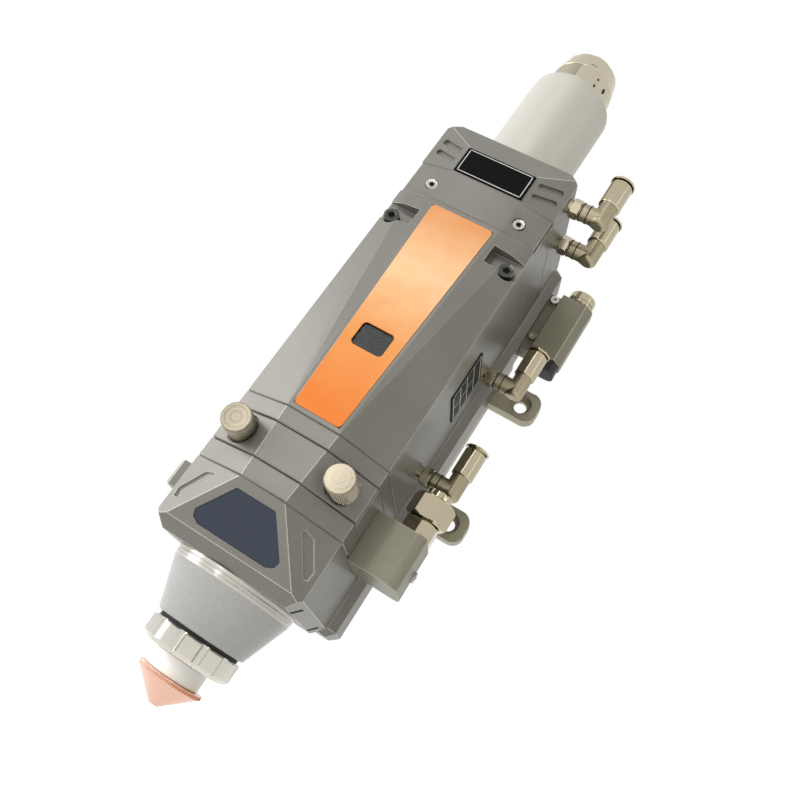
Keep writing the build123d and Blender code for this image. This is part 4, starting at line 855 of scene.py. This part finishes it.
thumb_steps = 48
knurl_low = 32.8
knurl_row = 0.7
knurl_rows = 15
knurl_radius = 6.1
head_top = 44.9
thumb_out = 23.4
drawer_low, drawer_high = heights("drawer_frame")
for side, node, body in [(-1, "thumb_screw_left", "thumb_left"), (1, "thumb_screw_right", "thumb_right")]:
    rows = [(knurl_radius, knurl_low + row * knurl_row) for row in range(knurl_rows + 1)]
    screw = turned(
        [
            (0.0, 14.5), (1.7, 14.5), (2.0, 14.9), (2.0, 31.9), (5.7, 31.9), (knurl_radius, 32.4), *rows,
            (knurl_radius, 43.6), (5.85, 43.7), (5.85, 43.9), (6.05, 44.0), (6.05, 44.5),
            (5.6, head_top), (0.0, head_top),
        ],
        steps=thumb_steps, ease_mm=0.0,
    )
    valleys = []
    for vert in screw.verts:
        row = round((vert.co.z / mm - knurl_low) / knurl_row)
        step = round(math.degrees(math.atan2(vert.co.y, vert.co.x)) * thumb_steps / 360)
        knurled = vert.co.xy.length > 6.0 * mm and 0 <= row <= knurl_rows and vert.co.z < 43.3 * mm
        if knurled and vert.co.z > 32.6 * mm and (row + step) % 2:
            valleys.append(vert)
    bmesh.ops.connect_verts(screw, verts=valleys)
    for vert in valleys:
        vert.co.xy *= 1 - 0.5 / knurl_radius
    centre = Vector((side * thumb_out, axis_depth, (drawer_low + drawer_high) / 2)) * mm
    knurl_metal = spun_face(f"{node}_spun_nickel", "#928a79", 0.22, centre)
    set_down(screw, Matrix.Translation(centre) @ Matrix.Rotation(math.radians(90), 4, "X"))
    keep_piece(f"{node}_knurled", screw, body, [knurl_metal], [node], crease=22)


# Bare plates: thin aluminium enamelled black, with a pale printed border and no words. The side
# plate has empty fields ruled on it.
plate_enamel = moulded("plate_enamel", "#070708", 0.45, depth_mm=0.002, gloss=0.06)
plate_print = moulded("plate_print", "#d0d0ca", 0.5)
dressed(["cap_plate", "side_plate"], plate_enamel)


def ruled(name, centre, across, up, size, lines, line_mm=0.35):
    """Printed lines on a plate, each from one point to another in shares of the plate's size."""
    shape = bmesh.new()
    normal = across.cross(up)
    turn = Matrix((across, up, normal)).transposed().to_4x4()
    for (x0, y0), (x1, y1) in lines:
        middle = centre + across * (size[0] * (x0 + x1) / 2 * mm) + up * (size[1] * (y0 + y1) / 2 * mm)
        long_x = abs(x1 - x0) * size[0] + line_mm
        long_y = abs(y1 - y0) * size[1] + line_mm
        form = Matrix.Diagonal((long_x * mm, long_y * mm, 0.06 * mm, 1))
        bmesh.ops.create_cube(shape, size=1.0, matrix=Matrix.Translation(middle) @ turn @ form)
    keep_piece(name, shape, "head", [plate_print])


frame_lines = [
    ((-0.46, -0.44), (0.46, -0.44)), ((0.46, -0.44), (0.46, 0.44)),
    ((0.46, 0.44), (-0.46, 0.44)), ((-0.46, 0.44), (-0.46, -0.44)),
]
cap_plate_low, cap_plate_high = [Vector(corner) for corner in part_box("cap_plate")]
cap_plate_face = Vector((0, cap_plate_low.y, (cap_plate_low.z + cap_plate_high.z) / 2))
ruled("cap_plate_border", cap_plate_face, Vector((1, 0, 0)), Vector((0, 0, 1)), (34.0, 14.2), frame_lines)
side_plate_low, side_plate_high = [Vector(corner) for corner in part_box("side_plate")]
side_plate_face = (side_plate_low + side_plate_high) / 2
side_plate_face.x = side_plate_high.x
field_lines = [((-0.46, share), (0.46, share)) for share in (-0.22, 0.0, 0.22)]
field_lines.append(((0.0, -0.44), (0.0, 0.22)))
ruled(
    "side_plate_fields", side_plate_face, Vector((0, 1, 0)), Vector((0, 0, 1)), (26.0, 26.5),
    frame_lines + field_lines, line_mm=0.45,
)

# Gas block and drive connector: bead blasted blocks, anodised grey brown, fixed to the right
# side. The small terminal block on the left is grey as the stack.
blasted = anodised("anodised_grey_brown", "#918e7e", 0.40)
# Lighter colour on the broken edges: painted highlight, partly also the thinner oxide there.
blasted_edge_highlight = anodised("anodised_grey_brown_edge", "#b8b5a6", 0.34)
for node in ["gas_block", "drive_connector"]:
    keep_piece(
        f"{node}_milled", broken_edges(node, 0.3), "head",
        [blasted, blasted_edge_highlight], [node],
    )
keep_piece(
    "terminal_block_milled", broken_edges("terminal_block", 0.3), "head", [grey, grey_edge_highlight],
    ["terminal_block"],
)


# Gas inlet stud and its compression nut: hexagon bar, turned, nickel plated. Both ends of a
# hexagon are chamfered on the lathe, which leaves rounded corners on its flats.
def hexed(shape, flat_mm, low, high, turn_deg=0.0):
    """Press the round stretch between two heights in to the flats of a hexagon."""
    for vert in shape.verts:
        if low - 0.01 < vert.co.z / mm < high + 0.01 and vert.co.xy.length > flat_mm / 2 * 0.9 * mm:
            around = math.degrees(math.atan2(vert.co.y, vert.co.x)) - turn_deg
            off = math.radians((around + 30) % 60 - 30)
            reach = flat_mm / 2 / math.cos(off) * mm
            vert.co.xy *= min(1.0, reach / vert.co.xy.length)
    return shape


def hex_outline(flat_mm, low, high, chamfer_mm=1.0):
    """Outer outline of a chamfered hexagon before its flats are pressed, from low to high."""
    corner = flat_mm / 2 * 1.156
    start = flat_mm / 2 * 0.97
    shares = [0.0, 0.25, 0.5, 0.75, 1.0]
    rise = [(start + (corner - start) * share, low + chamfer_mm * share) for share in shares]
    fall = [(start + (corner - start) * share, high - chamfer_mm * share) for share in reversed(shares)]
    return rise + fall


inlet_low, inlet_high = heights("gas_inlet")
block_high = heights("gas_block")[1]
inlet_axis = Matrix.Translation((48.8 * mm, (10.6 + axis_depth) * mm, 0))
inlet_hex_high = block_high + 8.4
inlet = turned(
    [(3.05, inlet_low), (4.45, inlet_low), (4.45, block_high)]
    + hex_outline(14.0, block_high, inlet_hex_high, 0.8)
    + [(5.8, inlet_hex_high), (5.8, inlet_high), (3.05, inlet_high)],
    steps=72, ease_mm=0.0,
)
hexed(inlet, 14.0, block_high, inlet_hex_high)
keep_piece(
    "gas_inlet_turned", set_down(inlet, inlet_axis), "head", [nickel],
    ["gas_inlet"], crease=20,
)
nut_low_z, nut_high_z = heights("gas_nut")
nut_roof_z = nut_high_z - 3.4
gas_nut = turned(
    [(5.88, nut_low_z)] + hex_outline(17.0, nut_low_z, nut_roof_z, 1.3)
    + [(5.6, nut_roof_z), (5.6, nut_high_z - 0.4), (5.3, nut_high_z), (4.05, nut_high_z),
       (4.05, nut_roof_z - 3.0), (5.88, nut_roof_z - 3.0)],
    steps=72, ease_mm=0.0,
)
hexed(gas_nut, 17.0, nut_low_z, nut_roof_z, turn_deg=30.0)
for vert in gas_nut.verts:
    around = math.degrees(math.atan2(vert.co.y, vert.co.x)) % 60
    in_slot = min(around, 60 - around) < 7.6 and vert.co.z > (nut_roof_z + 0.2) * mm
    if in_slot and vert.co.xy.length > 5.0 * mm:
        vert.co.xy *= 4.7 * mm / vert.co.xy.length
keep_piece(
    "gas_nut_turned", set_down(gas_nut, inlet_axis), "gas_nut", [nickel],
    ["gas_nut"], crease=20,
)

# Connector cap: turned brass cap with a groove round it, nickel plated, screwed on top of the
# drive connector.
cap_low, cap_high = heights("connector_cap")
cap_box = [Vector(corner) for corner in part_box("connector_cap")]
cap_middle = (cap_box[0] + cap_box[1]) / 2
connector_axis = Matrix.Translation((cap_middle.x, cap_middle.y, 0))
screw_cap = turned(
    [
        (0.0, cap_low), (6.6, cap_low), (7.0, cap_low + 0.3), (7.0, cap_low + 1.6), (6.7, cap_low + 1.75),
        (6.7, cap_low + 2.1), (7.0, cap_low + 2.25), (7.0, cap_high - 1.2), (6.7, cap_high - 0.5),
        (5.8, cap_high), (4.6, cap_high), (4.5, cap_high - 0.15), (0.0, cap_high - 0.15),
    ],
    steps=96, ease_mm=0.0,
)
keep_piece(
    "connector_cap_turned", set_down(screw_cap, connector_axis), "connector_cap", [nickel],
    ["connector_cap"], crease=24,
)

# Air fittings: nickel plated brass. The elbow is a casting with a rough skin, the sleeve on it
# and the release ring are turned bright, and a black seal shows between them.
cast_nickel = anodised(
    "nickel_casting", "#a1977e", 0.36, metallic=1.0, cloud_mm=5.0, grain_mm=0.6, grain_depth_mm=0.03,
)
wall = 33.5
hex_start = wall + 1.5
hex_end = hex_start + 4.6
for name in ["cap_front", "cap_rear", "housing", "drawer"]:
    hex_low, hex_high = [Vector(corner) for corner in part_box(f"fitting_hex_{name}")]
    elbow_low, elbow_high = [Vector(corner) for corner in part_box(f"fitting_elbow_{name}")]
    across = (hex_low.y + hex_high.y) / 2
    up = (hex_low.z + hex_high.z) / 2
    stem_end = hex_high.x / mm
    stud = turned(
        [(0.0, hex_low.x / mm), (3.4, hex_low.x / mm), (3.4, hex_start)]
        + hex_outline(8.0, hex_start, hex_end, 0.6)
        + [(2.6, hex_end), (2.6, stem_end), (0.0, stem_end)],
        steps=72, ease_mm=0.0,
    )
    hexed(stud, 8.0, hex_start, hex_end)
    lying = Matrix.Translation((0, across, up)) @ Matrix.Rotation(math.radians(90), 4, "Y")
    keep_piece(
        f"fitting_hex_{name}_turned", set_down(stud, lying), "head", [nickel],
        [f"fitting_hex_{name}"], crease=20,
    )
    elbow = merged_copy(f"fitting_elbow_{name}")
    sleeve_foot = up + 7.4 * mm
    for face in elbow.faces:
        face.material_index = 1 if face.calc_center_median().z > sleeve_foot else 0
    keep_piece(
        f"fitting_elbow_{name}_cast", elbow, f"elbow_{name}", [cast_nickel, nickel],
        [f"fitting_elbow_{name}"],
    )
    # Two thin near black rings round each elbow mark its grooves: painted shade.
    groove_radius = (up - elbow_low.z) / mm + 0.04
    for groove_name, groove_place in [("inner", 0.25), ("outer", 3.4)]:
        groove_x = elbow_low.x + groove_place * mm
        groove = turned(
            [(0.0, 0.0), (groove_radius, 0.0), (groove_radius, 0.45), (0.0, 0.45)],
            steps=48, ease_mm=0.0,
        )
        set_down(groove, Matrix.Translation((groove_x - lying.translation.x, 0, 0)) @ lying)
        keep_piece(
            f"fitting_groove_{name}_{groove_name}", groove,
            f"elbow_{name}", [recess_painted_shade],
        )
    middle = (elbow_low.y + elbow_high.y) / 2
    sleeve_x = elbow_high.x - 5.15 * mm
    seal = turned(
        [(4.15, 0.0), (5.0, 0.0), (5.0, 0.15), (4.15, 0.15)], steps=64, ease_mm=0.0,
    )
    set_down(seal, Matrix.Translation((sleeve_x, middle, elbow_high.z)))
    keep_piece(f"fitting_seal_{name}", seal, f"elbow_{name}", [black_rubber])
    ring_low_z, ring_high_z = heights(f"fitting_collet_{name}")
    collet = turned(
        [
            (3.05, ring_low_z), (4.0, ring_low_z), (4.0, ring_high_z - 1.1), (5.4, ring_high_z - 1.1),
            (5.7, ring_high_z - 0.8), (5.7, ring_high_z - 0.35), (5.3, ring_high_z), (3.6, ring_high_z),
            (3.05, ring_high_z - 0.5),
        ],
        steps=72, ease_mm=0.0,
    )
    set_down(collet, Matrix.Translation((sleeve_x, middle, 0)))
    keep_piece(
        f"fitting_collet_{name}_turned", collet, f"collet_{name}", [nickel],
        [f"fitting_collet_{name}"], crease=24,
    )
